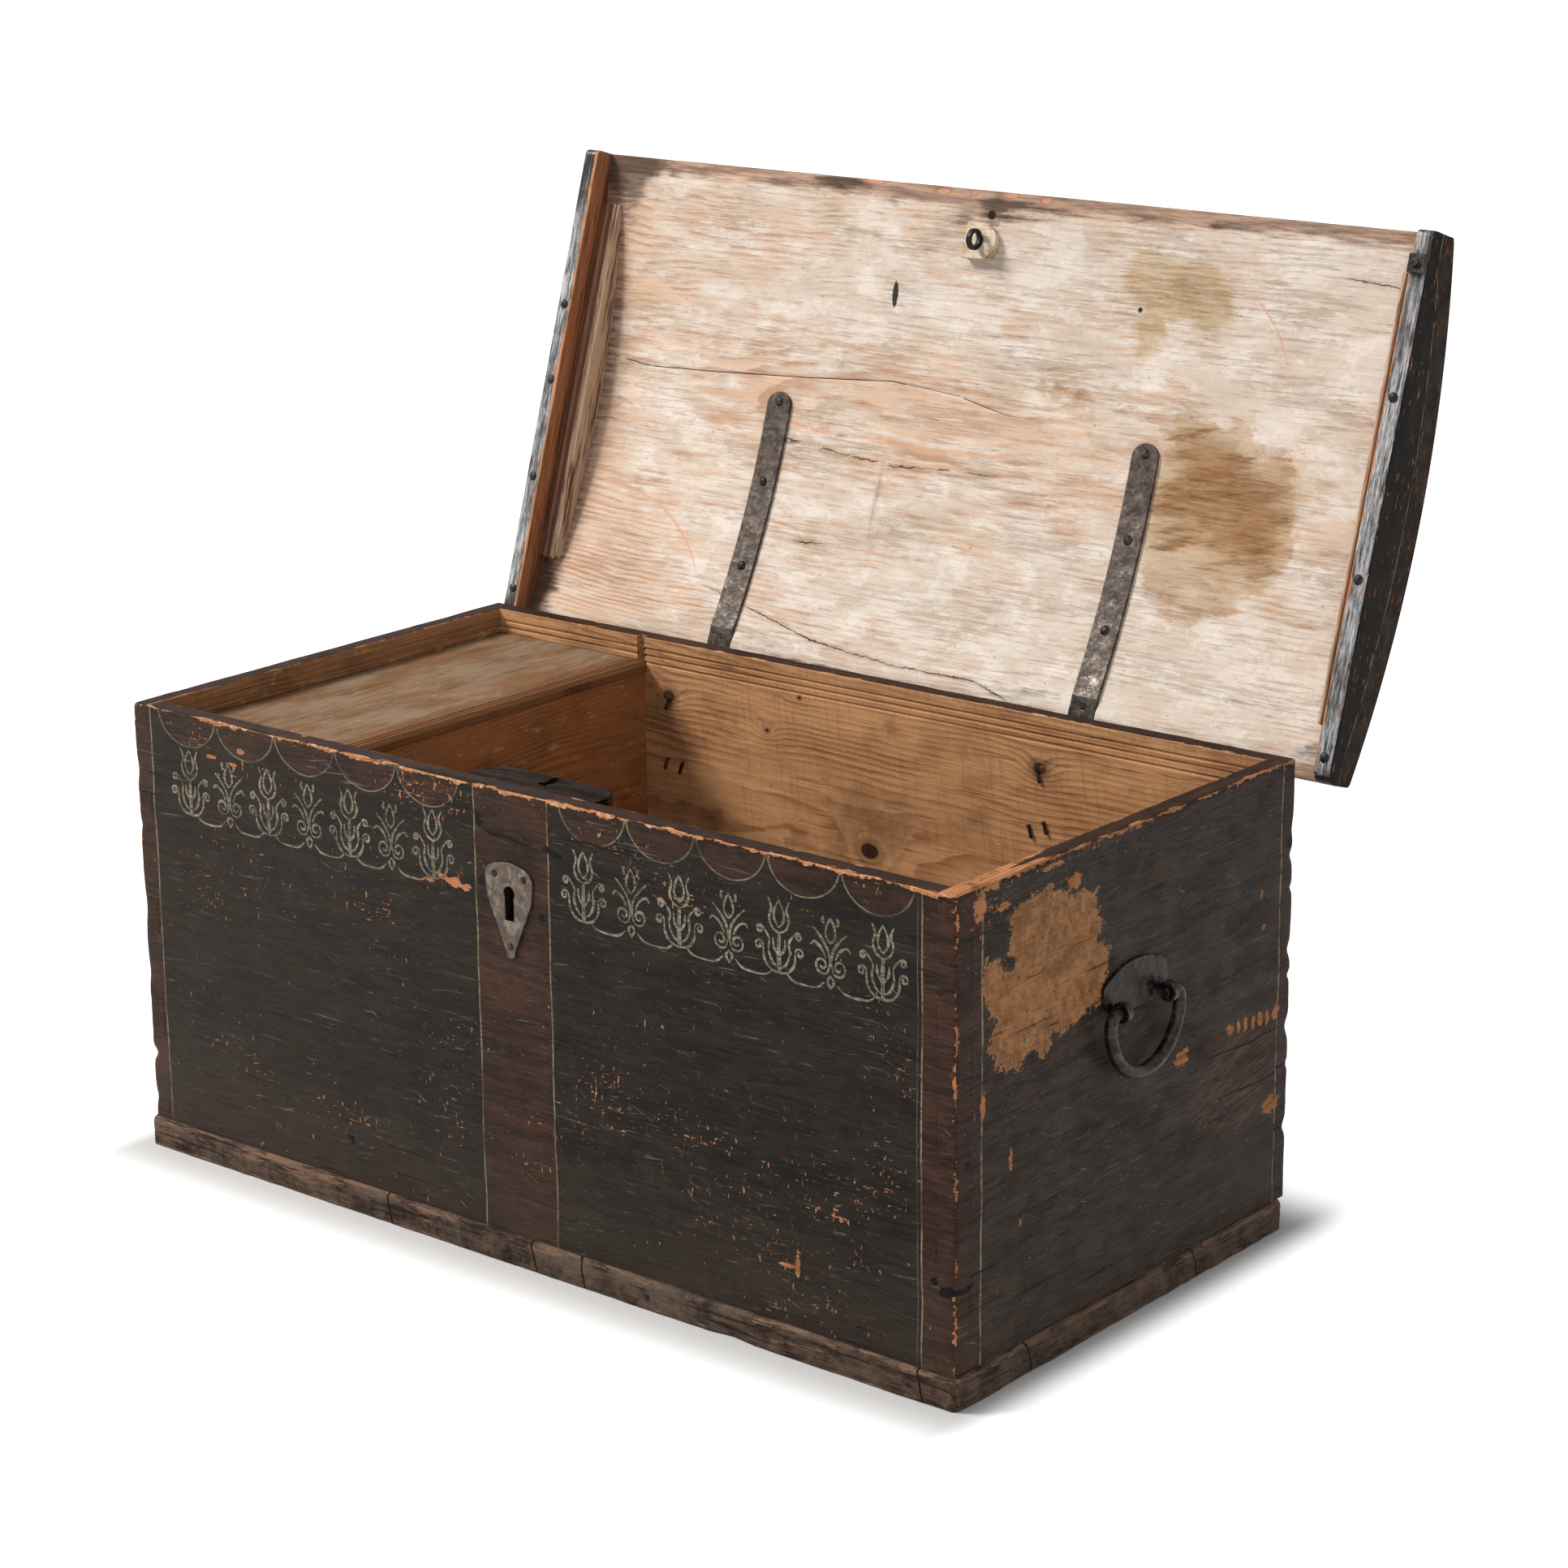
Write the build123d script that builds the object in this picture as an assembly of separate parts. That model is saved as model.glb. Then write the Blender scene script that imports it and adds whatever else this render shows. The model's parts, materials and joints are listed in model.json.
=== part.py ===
from build123d import *
import os
from math import asin, cos, degrees, radians, sin, sqrt

# A painted pine blanket chest: a dovetailed case on a plinth, a lidded till inside at the left,
# a shallow domed lid on long strap hinges, a sliding-bolt lock and a swinging handle on each end.
# Millimetres. The origin is on the floor under the middle of the case. The front faces -Y, up is +Z.
# The lid is drawn shut, round its own datum, and then turned to its open rest.

os.makedirs("parts", exist_ok=True)

# Case
CASE_WIDTH = 1200.0
CASE_DEPTH = 620.0
RIM_HEIGHT = 550.0
BOARD = 24.0
TAIL_COUNT = 4
TAIL_HALF_WIDTH = 45.0
TAIL_FLARE = 4.0
MOULDING_DEPTHS = (15.0, 23.5, 32.5)
MOULDING_RADIUS = 2.2

# Plinth and bottom
PLINTH_HEIGHT = 35.0
PLINTH_WIDTH = 60.0
PLINTH_PROUD = 7.0
PLINTH_REAR_SETBACK = 8.0
PLINTH_TOP_ROUND = 6.5
PLINTH_CORNER_ROUND = 13.0
BOTTOM_THICKNESS = 20.0
BOTTOM_PLANKS = 3
BEARER_WIDTH = 60.0

# Lid, drawn shut
REST_GAP = 0.4
LID_FRONT = -308.0
LID_MARGIN = 28.0
HOLLOW_RISE = 35.0
EDGE_THICKNESS = 20.0
DOME_RISE = 45.0
PLANK_SEAMS = (-45.0, 145.0)
BATTEN = 22.0
BATTEN_HANG = 27.0
BATTEN_GAP = 2.0
STRIP_WIDTH = 24.0
STRIP_REACH = {-1: (-245.0, 220.0), 1: (-262.0, 246.0)}
BATTEN_NAIL_Y = {-1: (-106.0, -8.0, 119.0, 266.0), 1: (-121.0, 82.0, 281.0)}
BATTEN_BOLT_Y = -269.0
OPEN_ANGLE = 107.5

# Strap hinges
PIVOT_BEHIND = 11.5
PIVOT_BELOW = 40.0
HINGE_X = {-1: -281.0, 1: 270.0}
STRAP_WIDTH = 37.0
STRAP_THICKNESS = 4.0
STRAP_TIP_Y = -38.0
STRAP_RIVET_Y = (-25.0, 77.0, 185.0, 277.0)
EYE_RADIUS = 9.5
PIN_RADIUS = 4.5
RUNNING_GAP = 0.08
EYE_WIDTH = 16.0
ARM_NECK = 15.0
LEAF_BOTTOM_DEPTH = 165.0
LEAF_NAILS = {
    -1: ((-9.0, 73.0), (-12.0, 150.0), (12.0, 152.0)),
    1: ((-1.0, 67.0), (-12.0, 135.0), (9.0, 127.0)),
}
STOP_LENGTH = 27.0

# Till
TILL_FRONT_X = -330.0
TILL_FRONT_THICKNESS = 12.0
TILL_LID_THICKNESS = 14.0
TILL_LID_DEPTH_BELOW_RIM = 30.0
TILL_INNER_DEPTH = 169.0
TILL_HOUSING = 8.0
TILL_PIN_RADIUS = 4.0
TILL_NAILS = ((-175.0, 470.0), (-75.0, 455.0))

# Lock
LOCK_X = -2.0
COVER_LEFT = -95.0
COVER_RIGHT = 92.0
COVER_DEPTH = 60.0
COVER_TOP_BELOW_RIM = 3.0
COVER_BOTTOM = 372.0
CATCH_Y = -246.5
CATCH_X = 3.0
CATCH_EYE_OUTER = 13.0
CATCH_EYE_INNER = 8.0
CATCH_EYE_Z = 537.0
BOLT_TRAVEL = 24.0
LOCK_NAILS = ((-41.0, 510.0), (-50.0, 414.0), (56.0, 516.0), (50.0, 409.0))
LOCK_PLATE = (-80.0, 62.0, 394.0, 540.0)
KEYHOLE_TOP_Z = 434.0
KEYHOLE_BOTTOM_Z = 403.0
ESCUTCHEON_TOP_Z = 469.0
ESCUTCHEON_BOTTOM_Z = 360.0

# End handles
HANDLE_Z = 358.0
HANDLE_STANDOFF = 16.0
HANDLE_EYE_Y = 43.0
HANDLE_HALF_WIDTH = 64.0
HANDLE_GRIP_RADIUS = 7.8
HANDLE_ARM_RADIUS = 6.5
HANDLE_PIN_RADIUS = 5.5
HANDLE_EYE_RADIUS = 11.5
HANDLE_BEND = 12.0
HANDLE_PLATE = 4.0

# Worked out from the above
HALF_WIDTH = CASE_WIDTH / 2
HALF_DEPTH = CASE_DEPTH / 2
INNER_X = HALF_WIDTH - BOARD
INNER_Y = HALF_DEPTH - BOARD
LID_BASE = RIM_HEIGHT + REST_GAP
LID_MIDDLE = (LID_FRONT + HALF_DEPTH) / 2
HOLLOW_HALF = HALF_DEPTH - LID_MARGIN - LID_MIDDLE
HOLLOW_RADIUS = (HOLLOW_HALF**2 + HOLLOW_RISE**2) / (2 * HOLLOW_RISE)
DOME_HALF = HALF_DEPTH - LID_MIDDLE
DOME_RADIUS = (DOME_HALF**2 + DOME_RISE**2) / (2 * DOME_RISE)
BATTEN_INNER_X = HALF_WIDTH + BATTEN_GAP
BATTEN_OUTER_X = BATTEN_INNER_X + BATTEN
PIVOT_Y = HALF_DEPTH + PIVOT_BEHIND
PIVOT_Z = RIM_HEIGHT - PIVOT_BELOW
TILL_LID_TOP = RIM_HEIGHT - TILL_LID_DEPTH_BELOW_RIM
TILL_LID_BOTTOM = TILL_LID_TOP - TILL_LID_THICKNESS
TILL_PIVOT_X = -INNER_X + 10.0
TILL_FLOOR_TOP = TILL_LID_BOTTOM - TILL_INNER_DEPTH
COVER_BACK_Y = -INNER_Y + COVER_DEPTH
COVER_TOP = RIM_HEIGHT - COVER_TOP_BELOW_RIM


def block(x0, x1, y0, y1, z0, z1):
    """A box between two corners."""
    middle = ((x0 + x1) / 2, (y0 + y1) / 2, (z0 + z1) / 2)
    return Pos(*middle) * Box(x1 - x0, y1 - y0, z1 - z0)


def rod(start, end, radius):
    """A round bar between two points."""
    direction = Vector(*end) - Vector(*start)
    return extrude(Plane(origin=start, z_dir=direction) * Circle(radius), direction.length)


def along_x(outline, x0, x1):
    """A solid with an outline drawn in Y and Z, between two X stations."""
    return extrude(Plane.YZ.offset(x0) * make_face(outline), x1 - x0)


def along_y(outline, y0, y1):
    """A solid with an outline drawn in X and Z, between two Y stations."""
    plane = Plane(origin=(0, y1, 0), x_dir=(1, 0, 0), z_dir=(0, -1, 0))
    return extrude(plane * make_face(outline), y1 - y0)


def along_z(outline, z0, z1):
    """A solid with an outline drawn in X and Y, between two heights."""
    return extrude(Plane.XY.offset(z0) * make_face(outline), z1 - z0)


def mirrored(shape, side):
    """The right-hand shape itself for side 1, or its twin on the left for side -1."""
    return shape if side > 0 else mirror(shape, about=Plane.YZ)


def domed_head(radius, height):
    """A forged head on the plane Z = 0, rising along +Z."""
    sphere_radius = (radius**2 + height**2) / (2 * height)
    ball = Pos(0, 0, height - sphere_radius) * Sphere(sphere_radius)
    return ball & block(-radius, radius, -radius, radius, 0, height)


def save(name, *solids):
    """Writes one node, which may hold several separate solids."""
    shape = solids[0] if len(solids) == 1 else Compound(children=list(solids))
    export_step(shape, f"parts/{name}.step")


# Case boards


def tails(y0, y1):
    """The flared tails at both ends of a front or back board."""
    pitch = (RIM_HEIGHT - PLINTH_HEIGHT) / TAIL_COUNT
    result = []
    for side in (-1, 1):
        for index in range(TAIL_COUNT):
            z = PLINTH_HEIGHT + pitch * (index + 0.5)
            outline = Polyline(
                (side * INNER_X, z - TAIL_HALF_WIDTH + TAIL_FLARE),
                (side * HALF_WIDTH, z - TAIL_HALF_WIDTH),
                (side * HALF_WIDTH, z + TAIL_HALF_WIDTH),
                (side * INNER_X, z + TAIL_HALF_WIDTH - TAIL_FLARE),
                close=True,
            )
            result.append(along_y(outline, y0, y1))
    return result


def long_board(side):
    """The front (side -1) or back (side 1) board, with its tails and its ploughed inner moulding."""
    y0, y1 = sorted((side * INNER_Y, side * HALF_DEPTH))
    board = block(-INNER_X, INNER_X, y0, y1, PLINTH_HEIGHT, RIM_HEIGHT) + tails(y0, y1)
    for depth in MOULDING_DEPTHS:
        z = RIM_HEIGHT - depth
        board -= rod((-INNER_X, side * INNER_Y, z), (INNER_X, side * INNER_Y, z), MOULDING_RADIUS)
    return board - till_housing() - till_pin_holes()


def end_board(side):
    """An end board: a plain board less the tails of the boards that it meets."""
    x0, x1 = sorted((side * INNER_X, side * HALF_WIDTH))
    board = block(x0, x1, -HALF_DEPTH, HALF_DEPTH, PLINTH_HEIGHT, RIM_HEIGHT)
    board -= tails(-HALF_DEPTH, -INNER_Y) + tails(INNER_Y, HALF_DEPTH)
    for depth in MOULDING_DEPTHS:
        z = RIM_HEIGHT - depth
        board -= rod((side * INNER_X, -INNER_Y, z), (side * INNER_X, INNER_Y, z), MOULDING_RADIUS)
    board -= handle_eyes(side)
    return board - till_floor() if side < 0 else board


def bottom_plank(index):
    """One of the planks that lie inside the walls, on the plinth."""
    width = 2 * INNER_Y / BOTTOM_PLANKS
    y0 = -INNER_Y + width * index
    z1 = PLINTH_HEIGHT + BOTTOM_THICKNESS
    return block(-INNER_X, INNER_X, y0 + 0.5, y0 + width - 0.5, PLINTH_HEIGHT, z1)


def bottom_bearer():
    """The bearer that carries the middle of the bottom planks, level with the plinth."""
    y0 = -HALF_DEPTH - PLINTH_PROUD + PLINTH_WIDTH
    y1 = HALF_DEPTH - PLINTH_REAR_SETBACK - PLINTH_WIDTH
    return block(-BEARER_WIDTH / 2, BEARER_WIDTH / 2, y0, y1, 0, PLINTH_HEIGHT)


def plinth():
    """The whole plinth: a flat frame, proud of the case, rounded on top and at its corners."""
    x = HALF_WIDTH + PLINTH_PROUD
    front = -HALF_DEPTH - PLINTH_PROUD
    rear = HALF_DEPTH - PLINTH_REAR_SETBACK
    outer = block(-x, x, front, rear, 0, PLINTH_HEIGHT)
    outer = fillet(outer.edges().filter_by(Axis.Z), PLINTH_CORNER_ROUND)
    outer = fillet(outer.faces().sort_by(Axis.Z)[-1].edges(), PLINTH_TOP_ROUND)
    inner_x = x - PLINTH_WIDTH
    return outer - block(-inner_x, inner_x, front + PLINTH_WIDTH, rear - PLINTH_WIDTH, 0, PLINTH_HEIGHT)


def plinth_pieces():
    """The plinth cut at its mitres into front, back, left and right lengths."""
    whole = plinth()
    x = HALF_WIDTH + PLINTH_PROUD
    front = -HALF_DEPTH - PLINTH_PROUD
    rear = HALF_DEPTH - PLINTH_REAR_SETBACK
    reach = PLINTH_WIDTH + 1
    pieces = {}
    for name, edge, inward in (("front", front, 1), ("back", rear, -1)):
        outline = Polyline(
            (-x, edge),
            (x, edge),
            (x - reach, edge + inward * reach),
            (-x + reach, edge + inward * reach),
            close=True,
        )
        pieces[name] = whole & along_z(outline, 0, PLINTH_HEIGHT)
    sides = whole - pieces["front"] - pieces["back"]
    pieces["left"], pieces["right"] = sides.solids().sort_by(Axis.X)
    return pieces


# Lid, drawn shut


def hollow_height(y):
    """Height of the lid's hollow underside at a depth in the case."""
    drop = HOLLOW_RADIUS - sqrt(HOLLOW_RADIUS**2 - (y - LID_MIDDLE) ** 2)
    return LID_BASE + HOLLOW_RISE - drop


def dome_height(y):
    """Height of the lid's domed top at a depth in the case."""
    drop = DOME_RADIUS - sqrt(DOME_RADIUS**2 - (y - LID_MIDDLE) ** 2)
    return LID_BASE + EDGE_THICKNESS + DOME_RISE - drop


def hollow_arc(y0, y1, lower=0.0):
    """The hollow's curve between two depths, moved down by an amount."""
    middle = (y0 + y1) / 2
    return ThreePointArc(*((y, hollow_height(y) - lower) for y in (y0, middle, y1)))


def lid_shell():
    """The full width of the lid's planks: flat margins, a hollow below and a dome above."""
    rear = HALF_DEPTH
    inner_rear = rear - LID_MARGIN
    inner_front = LID_FRONT + LID_MARGIN
    outline = [
        Polyline((LID_FRONT, dome_height(LID_FRONT)), (LID_FRONT, LID_BASE), (inner_front, LID_BASE)),
        hollow_arc(inner_front, inner_rear),
        Polyline((inner_rear, LID_BASE), (rear, LID_BASE), (rear, dome_height(rear))),
        ThreePointArc(
            (rear, dome_height(rear)),
            (LID_MIDDLE, dome_height(LID_MIDDLE)),
            (LID_FRONT, dome_height(LID_FRONT)),
        ),
    ]
    shell = along_x(outline, -BATTEN_OUTER_X, BATTEN_OUTER_X)
    long_edges = shell.edges().filter_by(Axis.X)
    top_edges = [edge for edge in long_edges if edge.center().Z > LID_BASE + EDGE_THICKNESS - 1]
    return fillet(top_edges, 6.0)


def lid_planks():
    """The lid's planks, front to back, cut for the straps, the catch and every fixing."""
    shell = lid_shell()
    for side in (-1, 1):
        shell -= strap_recess(side)
        shell -= strap_rivets(side)
        shell -= batten_nails(side)
    shell -= batten_bolt()
    shell -= catch_eye()
    edges = [LID_FRONT - 1, *PLANK_SEAMS, HALF_DEPTH + 1]
    top = LID_BASE + EDGE_THICKNESS + DOME_RISE + 1
    planks = []
    for y0, y1 in zip(edges, edges[1:]):
        x = BATTEN_OUTER_X + 1
        slab = block(-x, x, y0 + 0.15, y1 - 0.15, LID_BASE - 1, top)
        planks.append(shell & slab)
    return planks


def batten(side):
    """An end batten: straight below, cut to the hollow above, with rounded lower corners."""
    bottom = LID_BASE - BATTEN_HANG
    inner_rear = HALF_DEPTH - LID_MARGIN
    inner_front = LID_FRONT + LID_MARGIN
    outline = [
        Polyline(
            (inner_front, LID_BASE),
            (LID_FRONT, LID_BASE),
            (LID_FRONT, bottom),
            (HALF_DEPTH, bottom),
            (HALF_DEPTH, LID_BASE),
            (inner_rear, LID_BASE),
        ),
        hollow_arc(inner_front, inner_rear),
    ]
    piece = along_x(outline, BATTEN_INNER_X, BATTEN_OUTER_X)
    low = [edge for edge in piece.edges().filter_by(Axis.X) if edge.center().Z < bottom + 1]
    front, rear = sorted(low, key=lambda edge: edge.center().Y)
    piece = fillet([rear], 18.0)
    low = [edge for edge in piece.edges().filter_by(Axis.X) if edge.center().Y < LID_FRONT + 1]
    piece = fillet([min(low, key=lambda edge: edge.center().Z)], 7.0)
    piece = mirrored(piece, side) - batten_nails(side)
    return piece - batten_bolt() if side > 0 else piece


def inner_strip(side):
    """The moulded strip in the corner between an end batten and the hollow."""
    y0, y1 = STRIP_REACH[side]
    bottom = LID_BASE + 0.2
    outline = [
        Polyline((y0, hollow_height(y0)), (y0, bottom), (y1, bottom), (y1, hollow_height(y1))),
        hollow_arc(y0, y1),
    ]
    inner_x = BATTEN_INNER_X - STRIP_WIDTH
    piece = along_x(outline, inner_x, BATTEN_INNER_X)
    cove_x = inner_x + STRIP_WIDTH * 0.62
    piece -= rod((cove_x, y0, bottom), (cove_x, y1, bottom), 4.5)
    piece -= rod((inner_x, y0, bottom), (inner_x, y1, bottom), 4.0)
    return mirrored(piece, side)


def batten_nails(side):
    """Nails driven through planks and batten, with a big head below and a small one on the dome."""
    bottom = LID_BASE - BATTEN_HANG
    x = side * (BATTEN_INNER_X + BATTEN / 2)
    nails = []
    for y in BATTEN_NAIL_Y[side]:
        top = dome_height(y)
        nail = rod((x, y, bottom), (x, y, top), 2.5)
        nail += Pos(x, y, bottom) * Rot(X=180) * domed_head(6.5, 2.5)
        nail += Pos(x, y, top - 0.4) * domed_head(5.5, 1.6)
        nails.append(nail)
    return nails


def batten_bolt():
    """The bolt at the front of the right batten, with its square nut below and a round head above."""
    bottom = LID_BASE - BATTEN_HANG
    x = BATTEN_INNER_X + BATTEN / 2
    y = BATTEN_BOLT_Y
    top = dome_height(y)
    bolt = rod((x, y, bottom - 11), (x, y, top), 4.5)
    bolt += block(x - 10, x + 10, y - 11, y + 11, bottom - 7, bottom)
    return bolt + Pos(x, y, top - 0.8) * domed_head(10.0, 3.5)


def catch_outline():
    """Plan of the catch's wood block: square at the left, round at the right."""
    radius = 22.0
    left = CATCH_X - 23.0
    middle = CATCH_X + 1.0
    near, far = CATCH_Y - radius, CATCH_Y + radius
    return [
        Polyline((middle, far), (left, far), (left, near), (middle, near)),
        ThreePointArc((middle, near), (middle + radius, CATCH_Y), (middle, far)),
    ]


def catch_block():
    """The wood block under the lid's front edge that carries the catch."""
    body = along_z(catch_outline(), LID_BASE - 1.5, LID_BASE + EDGE_THICKNESS - 5)
    return body - lid_shell() - catch_eye()


def catch_eye():
    """The iron eye that drops into the lock, with its shank up through the block into the lid."""
    x0, x1 = CATCH_X - 3.0, CATCH_X + 3.0
    centre = (CATCH_Y, CATCH_EYE_Z)
    ring = rod((x0, *centre), (x1, *centre), CATCH_EYE_OUTER)
    shank = block(x0, x1, CATCH_Y - 5, CATCH_Y + 5, CATCH_EYE_Z + CATCH_EYE_INNER, LID_BASE + 22)
    return ring + shank - rod((x0, *centre), (x1, *centre), CATCH_EYE_INNER)


# Strap hinges


def recess_start():
    """Where the hollow has risen by the strap's thickness, so that the strap leaves its recess."""
    drop = HOLLOW_RISE - STRAP_THICKNESS
    return LID_MIDDLE + sqrt(HOLLOW_RADIUS**2 - (HOLLOW_RADIUS - drop) ** 2)


def strap_recess(side):
    """The shallow housing for a strap in the lid's rear margin."""
    x = HINGE_X[side]
    half = STRAP_WIDTH / 2
    top = LID_BASE + STRAP_THICKNESS
    return block(x - half, x + half, recess_start(), HALF_DEPTH + 1, LID_BASE - 1, top)


def strap_plan(side):
    """A strap's outline from above: straight sides and a rounded front end."""
    x = HINGE_X[side]
    half = STRAP_WIDTH / 2
    rear = PIVOT_Y + EYE_RADIUS
    front = STRAP_TIP_Y + half * 0.8
    return [
        Polyline((x - half, front), (x - half, rear), (x + half, rear), (x + half, front)),
        ThreePointArc((x + half, front), (x, STRAP_TIP_Y), (x - half, front)),
    ]


def hinge_strap(side):
    """A strap: curved along the hollow, cranked down behind the case and rolled into an eye."""
    x = HINGE_X[side]
    half = STRAP_WIDTH / 2
    start = recess_start()
    y_out = PIVOT_Y - EYE_RADIUS + STRAP_THICKNESS
    y_in = y_out - STRAP_THICKNESS
    neck_z = PIVOT_Z + ARM_NECK
    outline = [
        hollow_arc(STRAP_TIP_Y, start),
        Polyline(
            (start, hollow_height(start)),
            (y_out, LID_BASE + STRAP_THICKNESS),
            (y_out, neck_z),
            (y_in, neck_z),
            (y_in, LID_BASE),
            (start, hollow_height(start) - STRAP_THICKNESS),
        ),
        hollow_arc(STRAP_TIP_Y, start, STRAP_THICKNESS),
        Line(
            (STRAP_TIP_Y, hollow_height(STRAP_TIP_Y) - STRAP_THICKNESS),
            (STRAP_TIP_Y, hollow_height(STRAP_TIP_Y)),
        ),
    ]
    strap = along_x(outline, x - half, x + half)
    strap &= along_z(strap_plan(side), PIVOT_Z, LID_BASE + HOLLOW_RISE + 1)
    strap += block(x - EYE_WIDTH / 2, x + EYE_WIDTH / 2, y_in, y_out, PIVOT_Z, neck_z)
    strap += eye_barrel(x - EYE_WIDTH / 2, x + EYE_WIDTH / 2)
    strap -= pin_bore(x, PIN_RADIUS + RUNNING_GAP)
    return strap - strap_rivets(side)


def eye_barrel(x0, x1):
    """A solid barrel on the hinge axis."""
    return rod((x0, PIVOT_Y, PIVOT_Z), (x1, PIVOT_Y, PIVOT_Z), EYE_RADIUS)


def pin_bore(x, radius):
    """The space of a pin through a whole hinge."""
    return rod((x - STRAP_WIDTH, PIVOT_Y, PIVOT_Z), (x + STRAP_WIDTH, PIVOT_Y, PIVOT_Z), radius)


def strap_rivets(side):
    """Rivets through a strap and the lid, each square to the curve."""
    rivets = []
    for y in STRAP_RIVET_Y:
        in_hollow = y < recess_start()
        tilt = degrees(asin((y - LID_MIDDLE) / HOLLOW_RADIUS)) if in_hollow else 0.0
        face_z = hollow_height(y) - STRAP_THICKNESS if in_hollow else LID_BASE
        length = (dome_height(y) - face_z) * cos(radians(tilt))
        place = Pos(HINGE_X[side], y, face_z) * Rot(X=-tilt)
        rivet = rod((0, 0, 0), (0, 0, length), 3.0)
        rivet += Rot(X=180) * domed_head(6.5, 3.0 if in_hollow else 0.3)
        rivet += Pos(0, 0, length - 0.5) * domed_head(6.0, 1.6)
        rivets.append(place * rivet)
    return rivets


def hinge_leaf(side):
    """The lower leaf on the back of the case: plate, knuckles and the stops that hold the open lid."""
    x = HINGE_X[side]
    half = STRAP_WIDTH / 2
    gap_half = EYE_WIDTH / 2 + 0.5
    bottom = RIM_HEIGHT - LEAF_BOTTOM_DEPTH
    top = PIVOT_Z - 5
    outline = [
        Polyline((x - half, bottom + half), (x - half, top), (x + half, top), (x + half, bottom + half)),
        ThreePointArc((x + half, bottom + half), (x, bottom), (x - half, bottom + half)),
    ]
    y1 = HALF_DEPTH + STRAP_THICKNESS
    leaf = along_y(outline, HALF_DEPTH, y1)
    leaf -= block(x - gap_half, x + gap_half, HALF_DEPTH - 1, y1 + 1, PIVOT_Z - EYE_RADIUS - 1, top + 1)
    for x0, x1 in ((x - half, x - gap_half), (x + gap_half, x + half)):
        leaf += block(x0, x1, HALF_DEPTH, y1, top - 1, PIVOT_Z)
        leaf += eye_barrel(x0, x1)
        leaf += hinge_stop(x0, x1)
    leaf -= pin_bore(x, PIN_RADIUS)
    return leaf - leaf_nails(side)


def hinge_stop(x0, x1):
    """A lug under the open strap. Its upper face lies along the arm of the open strap."""
    reach = STOP_LENGTH
    face = EYE_RADIUS - STRAP_THICKNESS - 0.2
    outline = Polyline((4, -2.0), (reach, -1.0), (reach, face), (4, face), close=True)
    lug = along_x(outline, x0, x1)
    return Pos(0, PIVOT_Y, PIVOT_Z) * Rot(X=90 - OPEN_ANGLE) * lug


def hinge_pin(side):
    """A pin through a hinge, with a round head at each end."""
    x = HINGE_X[side]
    half = STRAP_WIDTH / 2
    pin = rod((x - half, PIVOT_Y, PIVOT_Z), (x + half, PIVOT_Y, PIVOT_Z), PIN_RADIUS)
    pin += Pos(x + half, PIVOT_Y, PIVOT_Z) * Rot(Y=90) * domed_head(7.0, 3.0)
    return pin + Pos(x - half, PIVOT_Y, PIVOT_Z) * Rot(Y=-90) * domed_head(7.0, 3.0)


def leaf_nails(side):
    """Nails through a leaf and the back board, bent over on the inside."""
    nails = []
    for dx, depth in LEAF_NAILS[side]:
        x = HINGE_X[side] + dx
        z = RIM_HEIGHT - depth
        nail = rod((x, INNER_Y - 3.5, z), (x, HALF_DEPTH + STRAP_THICKNESS, z), 2.0)
        nail += rod((x, INNER_Y - 2.0, z + 1.5), (x + side * 5, INNER_Y - 2.0, z - 14), 2.0)
        nail += Pos(x, HALF_DEPTH + STRAP_THICKNESS, z) * Rot(X=-90) * domed_head(6.5, 3.0)
        nails.append(nail)
    return nails


# Till


def till_housing():
    """The grooves in the front and back boards that hold the till's front and bottom."""
    x0, x1 = TILL_FRONT_X - TILL_FRONT_THICKNESS, TILL_FRONT_X
    reach = INNER_Y + TILL_HOUSING
    bottom = TILL_FLOOR_TOP - TILL_FRONT_THICKNESS
    slots = [block(x0, x1, -reach, reach, bottom - 8, RIM_HEIGHT + 1)]
    slots.append(block(-INNER_X, x0, -INNER_Y - 5, INNER_Y + 5, bottom, TILL_FLOOR_TOP))
    return slots


def till_front():
    """The till's upright board, housed at both ends, with two nails in its face."""
    x0, x1 = TILL_FRONT_X - TILL_FRONT_THICKNESS, TILL_FRONT_X
    reach = INNER_Y + TILL_HOUSING
    bottom = TILL_FLOOR_TOP - TILL_FRONT_THICKNESS
    return block(x0, x1, -reach, reach, bottom - 8, TILL_LID_BOTTOM - 0.3) - till_nails()


def till_floor():
    """The till's bottom board, housed in three case boards."""
    x0, x1 = -INNER_X - 6, TILL_FRONT_X - TILL_FRONT_THICKNESS
    y = INNER_Y + 5
    bottom = TILL_FLOOR_TOP - TILL_FRONT_THICKNESS
    floor = block(x0, x1, -INNER_Y, INNER_Y, bottom, TILL_FLOOR_TOP)
    return floor + block(-INNER_X, x1, -y, y, bottom, TILL_FLOOR_TOP)


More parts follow.
